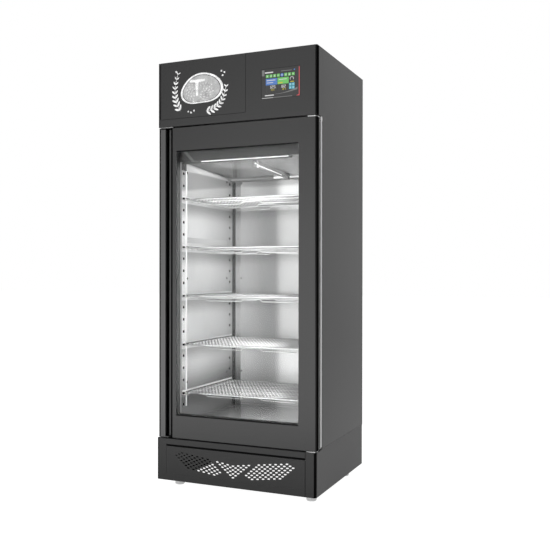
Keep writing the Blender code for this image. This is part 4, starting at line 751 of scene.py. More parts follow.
def rounded_rectangle(left, right, low, high, radius, steps=6):
    """Outline points: four quarter circles, anticlockwise, as one array."""
    turn = np.linspace(0, math.pi / 2, steps + 1)
    corners = ((right - radius, low + radius, 3), (right - radius, high - radius, 0),
               (left + radius, high - radius, 1), (left + radius, low + radius, 2))
    return np.concatenate([circle(turn + quarter * math.pi / 2, radius, (x, y))
                           for x, y, quarter in corners])


def sheets(outlines, near, far):
    """Flat outlines of x and z, each drawn out along Y from its near to its far face."""
    points, faces, start = [], [], 0
    for outline in outlines:
        outline = np.asarray(outline, float)
        count = len(outline)
        points += [at(outline[:, 0], y, outline[:, 1]) for y in (near, far)]
        ring = np.arange(count)
        after = (ring + 1) % count
        walls = np.stack([ring, after, after + count, ring + count], axis=1) + start
        faces += [(ring + start).tolist(), (ring[::-1] + count + start).tolist()]
        faces += walls.tolist()
        start += 2 * count
    return np.concatenate(points), faces


def add_sheets(name, outlines, face, depth, finish, body="cabinet"):
    """A piece of flat outlines that stand ahead of a face by a depth."""
    add_piece(name, [sheets(outlines, face - depth, face)], finish, body)


def band(outer, inner, near, far):
    """The strip between two outlines with as many points each, drawn out along Y."""
    loops = [(outer, near), (outer, far), (inner, far), (inner, near)]
    points = np.concatenate([at(loop[:, 0], y, loop[:, 1]) for loop, y in loops])
    count = len(outer)
    faces = grid_faces(5, count) % (4 * count)
    return points, faces.tolist()


def disc(x, z, radius, sides=20):
    return circle(full_turn(sides), radius, (x, z))


def panel(left, right, low, high):
    return np.array([(left, low), (right, low), (right, high), (left, high)])


def spot(x, z, size):
    """A small panel round a point."""
    return panel(x - size[0] / 2, x + size[0] / 2, z - size[1] / 2, z + size[1] / 2)


def domes(centres, outward, radius, height, sides=12, rings=4):
    """Screw heads: at a turn t from the rim the radius is r cos t and the rise is h sin t."""
    outward = np.asarray(outward, float)
    across = np.cross(outward, (0, 0, 1.0))
    ring = circle(full_turn(sides)) @ np.array([across, (0, 0, 1.0)])
    rise = np.linspace(0, math.pi / 2, rings, endpoint=False)[:, None, None]
    shape = radius * np.cos(rise) * ring + height * np.sin(rise) * outward
    shape = np.concatenate([shape.reshape(-1, 3), [height * outward]])
    count = len(shape)
    top = count - 1
    last = (rings - 1) * sides + np.arange(sides)
    faces = grid_faces(rings, sides).tolist()
    faces += [[int(i), (rings - 1) * sides + (int(i) + 1) % sides, top] for i in last]
    faces.append(list(range(sides))[::-1])
    points = np.asarray(centres, float)[:, None] + shape[None]
    return points.reshape(-1, 3), [[i + k * count for i in face]
                                   for k in range(len(points)) for face in faces]


# Wire shelves

SHELVES = range(1, 6)
FRAME_ROD = 0.004
FINE_WIRE = 0.0015
WIRE_PITCH = 0.0132
CROSS_ROD = 0.002
SHELF_CORNER = 0.016
ROD_PLACES = (0.075, 0.255, 0.420)
ROD_REACH = 0.304
ROD_END = 0.008
ROD_CRANK = 0.0145
ROD_DROP = 0.0118
TROUGHS = ((-0.256, -0.038), (0.050, 0.262))
LIP_DROP = 0.0070
FRONT_ROD = (0.045, 0.0130)
# Painted shadow strips along each shelf's sides, with a dark block at their front ends.
SHADOW_STRIP = (0.0040, 0.0030)
SHADOW_OVERLAP = 0.0020
SHADOW_LIFT = 0.0002
END_SHADOW_REACH = (-0.0060, 0.0016)
END_SHADOW_RUN = (0.0010, 0.0130)
END_SHADOW_DROP = 0.0060


def crank_profile(half, top, high, low):
    """Across and height of a cranked rod: level stretches joined by short slopes."""
    across, height = [-half, -ROD_REACH, ROD_END - ROD_REACH], [top, top, high]
    for start, stop in TROUGHS:
        across += [start, start + ROD_CRANK, stop - ROD_CRANK, stop]
        height += [high, low, low, high]
    return np.array(across + [ROD_REACH - ROD_END, ROD_REACH, half]), height + [high, top, top]


def make_wire_shelf(number):
    """A round perimeter rod, close parallel wires bent down to a lower front rod, and three
    cranked rods under them."""
    low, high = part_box(f"shelf_{number}")
    left, right = low.x + FRAME_ROD, high.x - FRAME_ROD
    outline = rounded_rectangle(left, right, low.y + FRAME_ROD, high.y - FRAME_ROD,
                                SHELF_CORNER - FRAME_ROD)
    parts = [tube(at(*outline.T, high.z - FRAME_ROD), FRAME_ROD, 12, closed=True)]
    span = high.x - low.x - 2 * SHELF_CORNER
    count = int(span / WIRE_PITCH)
    x = (np.arange(count + 1) - count / 2) * (span / count)
    level, front = high.z - FINE_WIRE, low.y + FINE_WIRE
    bends = [(front, high.z - LIP_DROP), (front, level), (high.y - FRAME_ROD / 2, level)]
    wires = [straight_tubes(at(x, *start), at(x, *end), FINE_WIRE)
             for start, end in zip(bends[:-1], bends[1:])]
    rod = (low.y + FRONT_ROD[0], high.z - FRONT_ROD[1])
    parts.append(straight_tubes([(left, *rod)], [(right, *rod)], CROSS_ROD))
    top = level - FINE_WIRE - CROSS_ROD
    across, height = crank_profile(right, top, top - ROD_DROP, top - 2 * ROD_DROP)
    parts += [tube(at(across, low.y + place, height), CROSS_ROD) for place in ROD_PLACES]
    shelf = add_piece(f"wire_shelf_{number}", parts, "bright", smooth=True)
    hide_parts(f"shelf_{number}")
    add_piece(f"shelf_wires_{number}", wires, "wire", smooth=True)


def make_shelf_shadows():
    """Painted shadow: dark strips between each shelf's side rods and the runners, with a dark block at
    the front end.
    """
    for number in SHELVES:
        low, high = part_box(f"shelf_{number}")
        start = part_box(f"shelf_runner_left_{number}")[0].y
        near, top = high.x - SHADOW_OVERLAP, high.z + SHADOW_STRIP[1]
        dark_strips = both_sides([(near, low.y, high.z + SHADOW_LIFT),
                            (high.x + END_SHADOW_REACH[0], start + END_SHADOW_RUN[0], high.z - END_SHADOW_DROP)],
                           [(near + SHADOW_STRIP[0], high.y, top),
                            (high.x + END_SHADOW_REACH[1], start + END_SHADOW_RUN[1], top)])
        add_piece(f"shelf_shadow_lines_{number}", [dark_strips], "slot")


# Inside the cabinet

FLOOR_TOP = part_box("floor_slab")[1].z
UPRIGHT_LOW, UPRIGHT_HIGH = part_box("upright_front_left")
COOLER_LOW, COOLER_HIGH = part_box("cooler_cover")
SLOT_LEVELS = np.linspace(FLOOR_TOP + 0.0829, UPRIGHT_HIGH.z - 0.0154, 20)
SLOT_SIZE = (0.0150, 0.0125)
SLOT_RIM = 0.0002
SLOT_FROM_EDGE = 0.019
BACK_SLOT_X = 0.2967
BACK_SLOT_SIZE = (0.004, 0.009)
SCREW = (0.0062, 0.0016)
SCREW_LEVELS = (0.5115, 1.0358, UPRIGHT_HIGH.z - 0.007)
SCREW_INSETS = (0.0073, 0.0164)
BACK_SCREW_X = 0.2765
EDGE_WIDTH = 0.0115
EDGE_PAST = 0.0055
EDGE_RISE = 0.0005
EDGE_START = 0.070
BAND_LEVELS = (1.2166, 1.2445)
BAND_SPAN = (-0.2215, 0.2203)
BLOCK_WIDTH = 0.024
BLOCK_GAP = 0.0005
LIP_SHEET = 0.002
LIP_INSET = 0.006
LIP_LEVELS = (1.5815, 1.5903)
HEADER_LEVELS = (1.6150, 1.7000)
HEADER_HALF = 0.3500
HEADER_DEPTH = 0.0010
SLANT_DEPTH = 0.0006
SLANT_TOP = (-0.3220, -0.3050, 1.6840)
SLANT_FOOT = (-0.2565, -0.2395)
AIR_SLOTS = (np.arange(5) - 2) * 0.105
AIR_SLOT_SIZE = (0.084, 0.013)
AIR_SLOT_DROP = 0.022
SEAM_RISE = 0.0095
SEAM_HEIGHT = 0.0010
SEAM_CORNER_INSET = 0.016


def make_slot_fills():
    """Painted shade: dark fills in the slots, and paler grey marks for the slots in the rear uprights'
    back flanges.
    """
    half_y, half_z = SLOT_SIZE[0] / 2, SLOT_SIZE[1] / 2
    for end in ("front", "rear"):
        for side, sign in (("left", -1), ("right", 1)):
            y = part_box(f"upright_{end}_{side}")[0].y + SLOT_FROM_EDGE
            near, far = sorted((sign * (LINING_FACE - SLOT_RIM), sign * LINING_FACE))
            fills = boxes(at(near, y - half_y, SLOT_LEVELS - half_z),
                          at(far, y + half_y, SLOT_LEVELS + half_z))
            add_piece(f"slot_fill_{end}_{side}", [fills], "slot")
    marks = [spot(x, z, BACK_SLOT_SIZE) for x in (-BACK_SLOT_X, BACK_SLOT_X) for z in SLOT_LEVELS]
    add_sheets("back_slot_marks", marks, BACK_FACE, SKIM, "slot_pale")


def make_screws():
    """Screw heads in the linings: six to a side, and a paler column each side of the back."""
    low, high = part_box("side_lining_left")
    rows = (low.y + SCREW_INSETS[0], high.y - SCREW_INSETS[1])
    parts = [domes([(sign * LINING_FACE, y, z) for y in rows for z in SCREW_LEVELS],
                   (-sign, 0, 0), *SCREW) for sign in (-1, 1)]
    add_piece("side_screws", parts, "slot", smooth=True)
    centres = [(x, BACK_FACE, z) for x in (-BACK_SCREW_X, BACK_SCREW_X) for z in SCREW_LEVELS]
    add_piece("back_screws", [domes(centres, (0, -1, 0), *SCREW)], "slot_pale",
              smooth=True)


def make_steel_trim():
    """Painted highlights on the front uprights' rear edges, slightly darker bands across the side
    linings, dark blocks of painted shade above the uprights, and a rear lip.
    """
    low, high = UPRIGHT_LOW, UPRIGHT_HIGH
    edges = both_sides((LINING_FACE - EDGE_RISE, high.y + EDGE_PAST - EDGE_WIDTH, low.z + EDGE_START),
                       (LINING_FACE, high.y + EDGE_PAST, high.z))
    add_piece("upright_edge_highlights", [edges], "edge")
    bands = both_sides((LINING_FACE - SKIM, BAND_SPAN[0], BAND_LEVELS[0]),
                       (LINING_FACE, BAND_SPAN[1], BAND_LEVELS[1]))
    add_piece("lining_bands", [bands], "band")
    blocks = both_sides((LINING_FACE, low.y, high.z + BLOCK_GAP),
                        (LINING_FACE + BLOCK_WIDTH, high.y, HEADER_LEVELS[0]))
    add_piece("upright_shade_blocks", [blocks], "header")
    lip = boxes((LIP_INSET - LINING_FACE, COOLER_HIGH.y - LIP_SHEET, LIP_LEVELS[0]),
                (LINING_FACE - LIP_INSET, COOLER_HIGH.y, LIP_LEVELS[1]))
    add_piece("cooler_rear_lip", [lip], "back")


def make_header():
    """Painted shade: a dark cover on the frame over the doorway, with a paler slanting band at its left
    end.
    """
    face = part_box("front_frame")[0].y
    cover = panel(-HEADER_HALF, HEADER_HALF, *HEADER_LEVELS)
    add_sheets("header_shade_cover", [cover], face, HEADER_DEPTH, "header")
    slanted_band = np.array([(SLANT_FOOT[0], HEADER_LEVELS[0]), (SLANT_FOOT[1], HEADER_LEVELS[0]),
                     (SLANT_TOP[1], SLANT_TOP[2]), (SLANT_TOP[0], SLANT_TOP[2])])
    add_sheets("header_slant", [slanted_band], face - HEADER_DEPTH, SLANT_DEPTH, "slanted_band")


def make_air_slot_screens():
    """Steel screens in the back lining's air slots."""
    screens = [spot(x, UPRIGHT_HIGH.z - AIR_SLOT_DROP, AIR_SLOT_SIZE) for x in AIR_SLOTS]
    add_sheets("air_slot_screens", screens, BACK_FACE, SKIM, "back")


def make_floor_seams():
    """Thin dark joints where the floor turns up at the side walls and at the back."""
    low, high = FLOOR_TOP + SEAM_RISE, FLOOR_TOP + SEAM_RISE + SEAM_HEIGHT
    end = LINING_FACE - SEAM_CORNER_INSET
    sides = both_sides((LINING_FACE - 2 * SKIM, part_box("side_lining_left")[0].y, low),
                       (LINING_FACE, BACK_FACE - SEAM_CORNER_INSET, high))
    back = boxes((-end, BACK_FACE - 2 * SKIM, low), (end, BACK_FACE, high))
    add_piece("floor_seams", [sides, back], "slot")


# Lamps, and painted glints

LINE_ENDS = (-0.2204, 0.2463)
LINE_LEVELS = (1.6134, 1.6172)
LINE_DEPTH = 0.0004
GLINT_RUN = (-0.160, 0.125)
GLINT_STEP = 0.016
GLINT_SIZE = (0.0016, 0.0100, 0.0024)
GLINT_INSET = 0.0028
GLINT_DROP = 0.0196
COVER_RISE = (1.6186, 0.529)
# Painted glints on the tube lamp's two ends.
CAP_GLINTS = ((0.012, 0.018, -0.0006, 0.0, 0.016, 0.010), (-0.0004, 0.0010, 0.004, 0.018, 0.030, 0.018))
# A painted light strip on the lip behind the cooler.
REAR_GLOW_SPAN = ((-0.0554, 1.5838), (0.3180, 1.5915))
REAR_GLOW_DEPTHS = (0.0026, 0.0021)


def make_lamp_lines():
    """The lamp bar's thin lit slot; and glowing painted highlights, which are no lamp: glints along the
    tube lamp's right side and at its two ends, and the right part of the lip behind the cooler."""
    slot = panel(*LINE_ENDS, *LINE_LEVELS)
    add_sheets("lamp_line", [slot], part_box("led_strip")[0].y, LINE_DEPTH, "lamp_line")
    low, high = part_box("tube_lamp")
    y = np.arange(*GLINT_RUN, GLINT_STEP)
    slope = (COOLER_LOW.z - COVER_RISE[0]) / COVER_RISE[1]
    start = at(high.x - GLINT_INSET, y, high.z - GLINT_DROP + (y - low.y) * slope)
    caps = [boxes((edge + left, low.y + near, high.z - bottom), (edge + right, low.y + far, high.z - top))
            for edge, (left, right, near, far, bottom, top) in zip((low.x, high.x), CAP_GLINTS)]
    add_piece("tube_glints", [boxes(start, start + np.array(GLINT_SIZE))] + caps, "glint")
    (left, bottom), (right, top) = REAR_GLOW_SPAN
    near, far = (COOLER_HIGH.y - depth for depth in REAR_GLOW_DEPTHS)
    add_piece("rear_glow_strip", [boxes((left, near, bottom), (right, far, top))], "glint")


# Base

BACKING_DEPTHS = (0.0028, 0.0036)
SLOT_COVER = 0.005
SLOT_TOP_GAP = 0.0003
SLOT_END_GAP = 0.003
HOLE = (0.0172, 0.0082)
HOLE_SLANT = 0.22 * HOLE[0]
RIM_SHARES = (1.03, 0.94, 0.76)
RIM_DEPTHS = (0.0003, 0.0012)
GRILLE_TOP = 0.2174
CENTRE_FIELD = (0.0139, 0.0039, 0.0563, 7, 6)
SIDE_FIELD = (0.0284, 0.00365, 0.0310, 0.2772)
SIDE_ROWS = (6, 7, 8, 8, 8, 8, 7, 6)
ROW_STEP = 0.0111
ROW_SHIFT = 0.0131
# Painted highlights in the gaps at the door's hinge end.
HIGHLIGHT_ENDS = (0.3725, 0.4110, 0.4130)
HIGHLIGHT_FRONT = (0.0050, 0.0004)
HIGHLIGHT_THICK = 0.0035
SILL_HIGHLIGHT = (0.0015, 0.0090, -0.0002, 0.0014)
EAR_LOW = (-0.0004, -0.2935, 1.7640)
EAR_HIGH = (0.0008, -0.2740, 1.7828)


def make_grille_shadows():
    """Painted shade: dark strips behind the slots over the grille panel and at its two ends."""
    low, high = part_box("base_grille")
    strips = [panel(low.x, high.x, high.z + SLOT_TOP_GAP, high.z + 2 * SLOT_COVER)]
    for edge, out, into in ((low.x, SLOT_COVER, SLOT_COVER / 2), (high.x, SLOT_COVER / 2, SLOT_COVER)):
        strips.append(panel(edge - out, edge + into, low.z + SLOT_END_GAP, high.z - SLOT_END_GAP))
    near, far = (low.y + depth for depth in BACKING_DEPTHS)
    add_piece("grille_shadow_backing", [sheets(strips, near, far)], "slot")


def hole_centres():
    """Places of the grille's holes: each half a slanted lattice, mirrored about the middle."""
    step, rise, drop, rows, columns = CENTRE_FIELD
    half = [(column * step, drop + row * ROW_STEP + i * rise) for row in range(rows)
            for i, column in enumerate(range(columns - row, -1, -2))]
    pitch, rise, top, end = SIDE_FIELD
    for row, count in enumerate(SIDE_ROWS):
        half += [(end - i * pitch, top + i * rise) for i in range(count)]
        end += (pitch if row < 2 else 0.0) - ROW_SHIFT
        top += ROW_STEP - (rise if row < 2 else 0.0)
    half += [(-across, drop) for across, drop in half if across]
    return np.array([(across, GRILLE_TOP - drop) for across, drop in half])


def make_hole_rims():
    """Pressed rims in the grille's holes: the outer edge is the slanted hole, the inner one the
    same shape with its corners drawn in, r = (|cos t|^4 + |sin t|^4)^(-1/4), and made smaller."""
    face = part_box("base_grille")[0].y
    c, s = circle(full_turn(16) + math.pi / 16).T
    square = np.maximum(np.abs(c), np.abs(s))
    soft = (np.abs(c) ** 4 + np.abs(s) ** 4) ** 0.25
    half, height = (HOLE[0] - HOLE_SLANT) / 2, HOLE[1] / 2
    outer_share, across_share, up_share = RIM_SHARES
    parts = []
    for x, z in hole_centres():
        lean = math.copysign(HOLE_SLANT, x) / 2
        outer = np.column_stack([x + outer_share * (half * c - lean * s) / square,
                                 z - outer_share * height * s / square])
        inner = np.column_stack([x + (across_share * half * c - up_share * lean * s) / soft,
                                 z - up_share * height * s / soft])
        parts.append(band(outer, inner, *(face + depth for depth in RIM_DEPTHS)))
    add_piece("hole_rims", parts, "base")


def make_hinge_painted_highlights():
    """Painted highlights: pale strips in the gaps over and under the door's hinge end, and on the frame's
    top ear.
    """
    low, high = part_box("hinge_bracket_top")
    left, right, sill_right = HIGHLIGHT_ENDS
    near, far, bottom, top = SILL_HIGHLIGHT
    ear = np.array((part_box("front_frame")[1].x, 0.0, 0.0))
    parts = [boxes((left, low.y - HIGHLIGHT_FRONT[0], high.z - HIGHLIGHT_THICK),
                   (right, low.y - HIGHLIGHT_FRONT[1], high.z)),
             boxes((left, BASE_LOW.y + near, BASE_HIGH.z + bottom),
                   (sill_right, BASE_LOW.y + far, BASE_HIGH.z + top)),
             boxes(ear + EAR_LOW, ear + EAR_HIGH)]
    add_piece("hinge_highlight_strips", parts, "plate")


# Door and fascia

CORNER_ROUND = 0.0062
CORNER_SPAN = (0.0070, 0.0228)
CORNER_END = 0.0004
HANDLE_CAP = (0.024, 0.0010, 0.0040, 0.0004, 0.0044)
BORDER_LEVELS = ((0.3660, 0.3712), (1.6588, 1.6645))


def corner_line(inset):
    """Across and depth of a corner: a front face, a quarter circle and a side face, all moved
    inwards by an inset."""
    turn = np.linspace(0, math.pi / 2, 7)
    reach, radius = BODY_SIDE + SKIM, CORNER_ROUND - inset
    x = [reach - CORNER_SPAN[0], *(reach - CORNER_ROUND + radius * np.sin(turn)), reach - inset]
    y = [inset, *(CORNER_ROUND - radius * np.cos(turn)), CORNER_SPAN[1]]
    return np.column_stack([x, y])


def make_corner_shadows():
    """Painted shadow: dark strips round the upright front corners of fascia and door, between two lines.
    """
    loop = np.concatenate([corner_line(0.0), corner_line(SKIM)[::-1]])
    count = len(loop)
    faces = grid_faces(2, count).tolist() + [list(range(count))[::-1], list(range(count, 2 * count))]
    for node, body, sides in (("fascia", "cabinet", (1, -1)), ("door_skin", "door", (1,))):
        low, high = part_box(node)
        parts = [(np.concatenate([at(sign * loop[:, 0], low.y + loop[:, 1], z)
                                  for z in (low.z + CORNER_END, high.z - CORNER_END)]), faces)
                 for sign in sides]
        add_piece(f"{node}_corner", parts, "corner_dark", body, smooth=True)


def make_handle_cap():
    """A pale cap over the groove at the top of the grip, pale as painted light on the grip's top."""
    left, front, rear, bottom, top = HANDLE_CAP
    cap = boxes((GRIP_LOW.x + left, GRIP_LOW.y + front, GRIP_HIGH.z + bottom),
                (GRIP_HIGH.x, GRIP_HIGH.y - rear, GRIP_HIGH.z + top))
    add_piece("handle_cap", [cap], "cap", "door")


def make_window_border():
    """Painted shadow: black edges along the top and bottom of the outer pane."""
    strips = [panel(*WINDOW_SIDES, low, high) for low, high in BORDER_LEVELS]
    add_sheets("window_border", strips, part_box("door_glass_outer")[0].y, SKIM, "slot",
               "door")


# Display

SCREEN_LOW, SCREEN_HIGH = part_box("display_screen")
SCREEN_GAP = 0.00002
TILE = 0.00012
SEGMENTS = {"top": (0, 1, 1, 1), "middle": (0, 0.5, 1, 0.5), "bottom": (0, 0, 1, 0),
            "upper_left": (0, 0.5, 0, 1), "upper_right": (1, 0.5, 1, 1),
            "lower_left": (0, 0, 0, 0.5), "lower_right": (1, 0, 1, 0.5)}
DIGITS = {"1": ("upper_right", "lower_right"),
          "2": ("top", "upper_right", "middle", "lower_left", "bottom"),
          "4": ("upper_left", "middle", "upper_right", "lower_right"),
          "5": ("top", "upper_left", "middle", "lower_right", "bottom"),
          "7": ("top", "upper_right", "lower_right"),
          "8": tuple(SEGMENTS)}


def on_screen(across, up):
    """Places on the display from shares of its width and height."""
    return (SCREEN_LOW.x + across * (SCREEN_HIGH.x - SCREEN_LOW.x),
            SCREEN_LOW.z + up * (SCREEN_HIGH.z - SCREEN_LOW.z))


def screen_tiles(*tiles):
    """Panels on the display, each from the shares of its left, right, low and high edge."""
    shares = np.array([panel(*tile) for tile in tiles])
    return list(np.stack(on_screen(shares[..., 0], shares[..., 1]), axis=-1))


def number_marks(text, left, low, width, height, gap, bar):
    """Digits from seven bars each, in shares of the display."""
    marks = []
    for place, digit in enumerate(text):
        start = left + place * (width + gap)
        for name in DIGITS[digit]:
            x0, z0, x1, z1 = SEGMENTS[name]
            marks += screen_tiles((start + x0 * width - bar / 2, start + x1 * width + bar / 2,
                                   low + z0 * height - bar / 2, low + z1 * height + bar / 2))
    return marks


def add_screen_layer(name, layer, outlines):
    face = SCREEN_LOW.y - SCREEN_GAP - layer * TILE
    add_sheets(f"display_{name}", outlines, face, TILE, f"lit_{name}")


ICON_UP = 0.76
ICON_FIRST = 0.145
ICON_PITCH = 0.0977
ICON_HALF = (0.036, 0.052)
ICON_COUNT = 8
BLUE_ICON = 4
KEYS = [(u, v) for u in (0.72, 0.797) for v in (0.25, 0.361)]
GAUGE_RADII = (0.0095, 0.0072)


def icon_marks():
    """White glyphs on the icons: by turns a dot, three bars, an arrow head and a dash."""
    marks = []
    for index in range(ICON_COUNT):
        u = ICON_FIRST + index * ICON_PITCH
        x, z = on_screen(u, ICON_UP)
        if index == BLUE_ICON or index % 4 == 0:
            marks.append(disc(x, z, 0.0028, 12))
        elif index % 4 == 1:
            marks += screen_tiles(*((u - 0.02 + k * 0.016, u - 0.012 + k * 0.016, ICON_UP - 0.025,
                                     ICON_UP + 0.005 + 0.01 * k) for k in range(3)))
        elif index % 4 == 2:
            marks.append(np.array([(x - 0.004, z - 0.0035), (x + 0.004, z - 0.0035),
                                   (x, z + 0.0045)]))
        else:
            marks += screen_tiles((u - 0.02, u + 0.02, ICON_UP - 0.008, ICON_UP + 0.008))
    return marks


def make_display():
    """Fields of the touch screen: title bar, icons, tiles, figures, keys and a red edge."""
    width, height = ICON_HALF
    icons = screen_tiles(*((u - width, u + width, ICON_UP - height, ICON_UP + height)
                           for u in ICON_FIRST + ICON_PITCH * np.arange(ICON_COUNT)))
    blue_spot = on_screen(ICON_FIRST + BLUE_ICON * ICON_PITCH, ICON_UP)
    del icons[BLUE_ICON]
    add_screen_layer("green", 1, icons + screen_tiles((0.417, 0.711, 0.453, 0.675)))
    add_screen_layer("blue", 1, [disc(*blue_spot, 0.0078), disc(*on_screen(0.86, 0.905), 0.0032)]
                     + screen_tiles((0.105, 0.408, 0.45, 0.672)))
    add_screen_layer("cyan", 1, screen_tiles(*((u, u + 0.067, v, v + 0.097) for u, v in KEYS)))
    add_screen_layer("dim", 0, screen_tiles((0.105, 0.408, 0.22, 0.438),
                                            (0.417, 0.711, 0.22, 0.438)))
    grey_bars = screen_tiles((0.0, 0.065, 0.78, 0.985), (0.51, 0.79, 0.885, 0.907),
                             (0.0, 0.80, 0.0, 0.022))
    turn = np.linspace(0.0, 1.0, 14)
    upper = [on_screen(0.34 + 0.6 * t, 0.13 + 0.17 * t ** 2) for t in turn]
    lower = [on_screen(0.34 + 0.6 * t, 0.12 + 0.10 * t ** 2) for t in turn]
    add_screen_layer("grey", 0, grey_bars + [np.array(lower + upper[::-1])])
    white = icon_marks()
    white += screen_tiles((0.08, 0.30, 0.865, 0.905), (0.08, 0.32, 0.08, 0.115),
                          (0.13, 0.36, 0.60, 0.625), (0.13, 0.30, 0.52, 0.54),
                          (0.45, 0.66, 0.60, 0.62), (0.0, 0.3, 0.005, 0.018))
    white += number_marks("125", 0.20, 0.335, 0.035, 0.085, 0.025, 0.012)
    white += number_marks("82", 0.53, 0.325, 0.035, 0.085, 0.025, 0.012)
    white += [disc(*on_screen(u + 0.033, v + 0.048), 0.0022, 10) for u, v in KEYS]
    arc = np.radians(np.linspace(-30, 210, 18))
    outer, inner = (circle(arc, radius, on_screen(0.794, 0.60)) for radius in GAUGE_RADII)
    white.append(np.concatenate([outer, inner[::-1]]))
    add_screen_layer("white", 2, white)
    yellow = screen_tiles((0.43, 0.553, 0.479, 0.515), (0.755, 0.85, 0.488, 0.515))
    yellow += number_marks("47", 0.25, 0.25, 0.026, 0.05, 0.02, 0.01)
    yellow += number_marks("21", 0.555, 0.25, 0.026, 0.05, 0.02, 0.01)
    add_screen_layer("yellow", 2, yellow)
    foot = np.array([on_screen(0.90, 0.005), on_screen(0.995, 0.005), on_screen(0.995, 0.07),
                     on_screen(0.968, 0.04)])
    add_screen_layer("red", 1, screen_tiles((0.977, 0.995, 0.04, 0.99)) + [foot])


# Print on the service flap

SEAM_WIDTH = 0.0016
SEAM_CORNER = 0.008


def make_flap_seams():
    """Dark lines along the flap's right and bottom edges, with a rounded corner between them."""
    low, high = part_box("service_flap")
    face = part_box("fascia")[0].y
    turn = np.linspace(0, -math.pi / 2, 7)
    centre = (high.x - SEAM_CORNER, low.z + SEAM_CORNER)
    outer, inner = (np.concatenate([[(high.x + width, high.z)],
                                    circle(turn, SEAM_CORNER + width, centre),
                                    [(low.x + SEAM_CORNER, low.z - width)]])
                    for width in (SEAM_WIDTH, 0.0))
    add_sheets("flap_seams", [np.concatenate([outer, inner[::-1]])], face, SKIM, "slot")


PRINT_MIDDLE = (-0.1900, 1.9480)
CUT_SIZE = 0.080
CUT_STRETCH = 1.32
FAT_SHARE = 0.90
MEAT_SHARE = 0.87
BONE_X = PRINT_MIDDLE[0] - 0.012
BONE_TOP = PRINT_MIDDLE[1] + 0.052
BONE_CLEAR = (0.013, 0.012)
STEM_TOP = 0.006
STEM_LENGTH = 0.072
FIRST_FLECK = 4
FLECK_COUNT = 70
LEAF_PAIRS = 9
LEAF_LENGTH = 0.030
LEAF_WIDTH = 0.0105
LEAF_LEAN = 0.75
CORNS = ((-0.060, -0.098), (-0.044, -0.104), (-0.028, -0.096), (-0.128, 0.102),
         (0.128, 0.060), (0.138, 0.074), (0.122, 0.082))


def cut_outline(share, steps=96):
    """Outline of a steak: the radius at an angle a is 1 + 0.15 cos(a - 0.6) +
    0.11 cos(2 a - 0.5) + 0.05 cos(3 a + 1.1), drawn wider than high."""
    a = np.linspace(0, 2 * math.pi, steps, endpoint=False)
    radius = 1 + 0.15 * np.cos(a - 0.6) + 0.11 * np.cos(2 * a - 0.5) + 0.05 * np.cos(3 * a + 1.1)
    return PRINT_MIDDLE + radius[:, None] * circle(a) * (share * CUT_SIZE * CUT_STRETCH, share * CUT_SIZE)


def leaf(x, z, length, width, angle, steps=8):
    """A pointed oval: its half width is w sin(t) along a length that goes as -cos(t)."""
    t = np.linspace(0, math.pi, steps)
    along = -np.cos(t) * length / 2
    across = np.sin(t) ** 1.4 * width / 2
    outline = np.concatenate([np.column_stack([along, -across]),
                              np.column_stack([along, across])[-2:0:-1]])
    c, s = math.cos(angle), math.sin(angle)
    return outline @ np.array([[c, s], [-s, c]]) + (x, z)


def sprig(start, middle, end):
    """Leaf pairs along a curve through three points, shorter towards its tip."""
    t = np.linspace(0.06, 1.0, LEAF_PAIRS)[:, None]
    start, middle, end = (np.array(place) for place in (start, middle, end))
    route = (1 - t) ** 2 * start + 2 * t * (1 - t) * middle + t ** 2 * end
    heading = 2 * (1 - t) * (middle - start) + 2 * t * (end - middle)
    angles = np.arctan2(heading[:, 1], heading[:, 0])
    marks = []
    for (x, z), angle, share in zip(route, angles, np.linspace(1.0, 0.55, LEAF_PAIRS)):
        for side in (-1, 1):
            lean = angle + side * LEAF_LEAN
            length = LEAF_LENGTH * share
            marks.append(leaf(x + length * 0.5 * math.cos(lean), z + length * 0.5 * math.sin(lean),
                              length, LEAF_WIDTH * share, lean))
    stem = [leaf((a[0] + b[0]) / 2, (a[1] + b[1]) / 2, 1.5 * float(np.hypot(*(b - a))), 0.0022,
                 math.atan2(b[1] - a[1], b[0] - a[0])) for a, b in zip(route[:-1], route[1:])]
    return marks + stem


def flecks():
    """Marbling: small pointed ovals on a sunflower spiral, kept off the bone."""
    marks = []
    for index in range(FIRST_FLECK, FLECK_COUNT):
        angle = index * math.pi * (3 - math.sqrt(5))
        radius = 0.74 * CUT_SIZE * math.sqrt(index / FLECK_COUNT)
        x = PRINT_MIDDLE[0] + CUT_STRETCH * radius * math.cos(angle)
        z = PRINT_MIDDLE[1] + radius * math.sin(angle)
        if abs(x - BONE_X) > BONE_CLEAR[0] and z < BONE_TOP - BONE_CLEAR[1]:
            marks.append(leaf(x, z, 0.008 + 0.006 * math.cos(3 * angle) ** 2, 0.0028,
                              angle + 0.9 + 0.4 * math.sin(5 * angle)))
    return marks


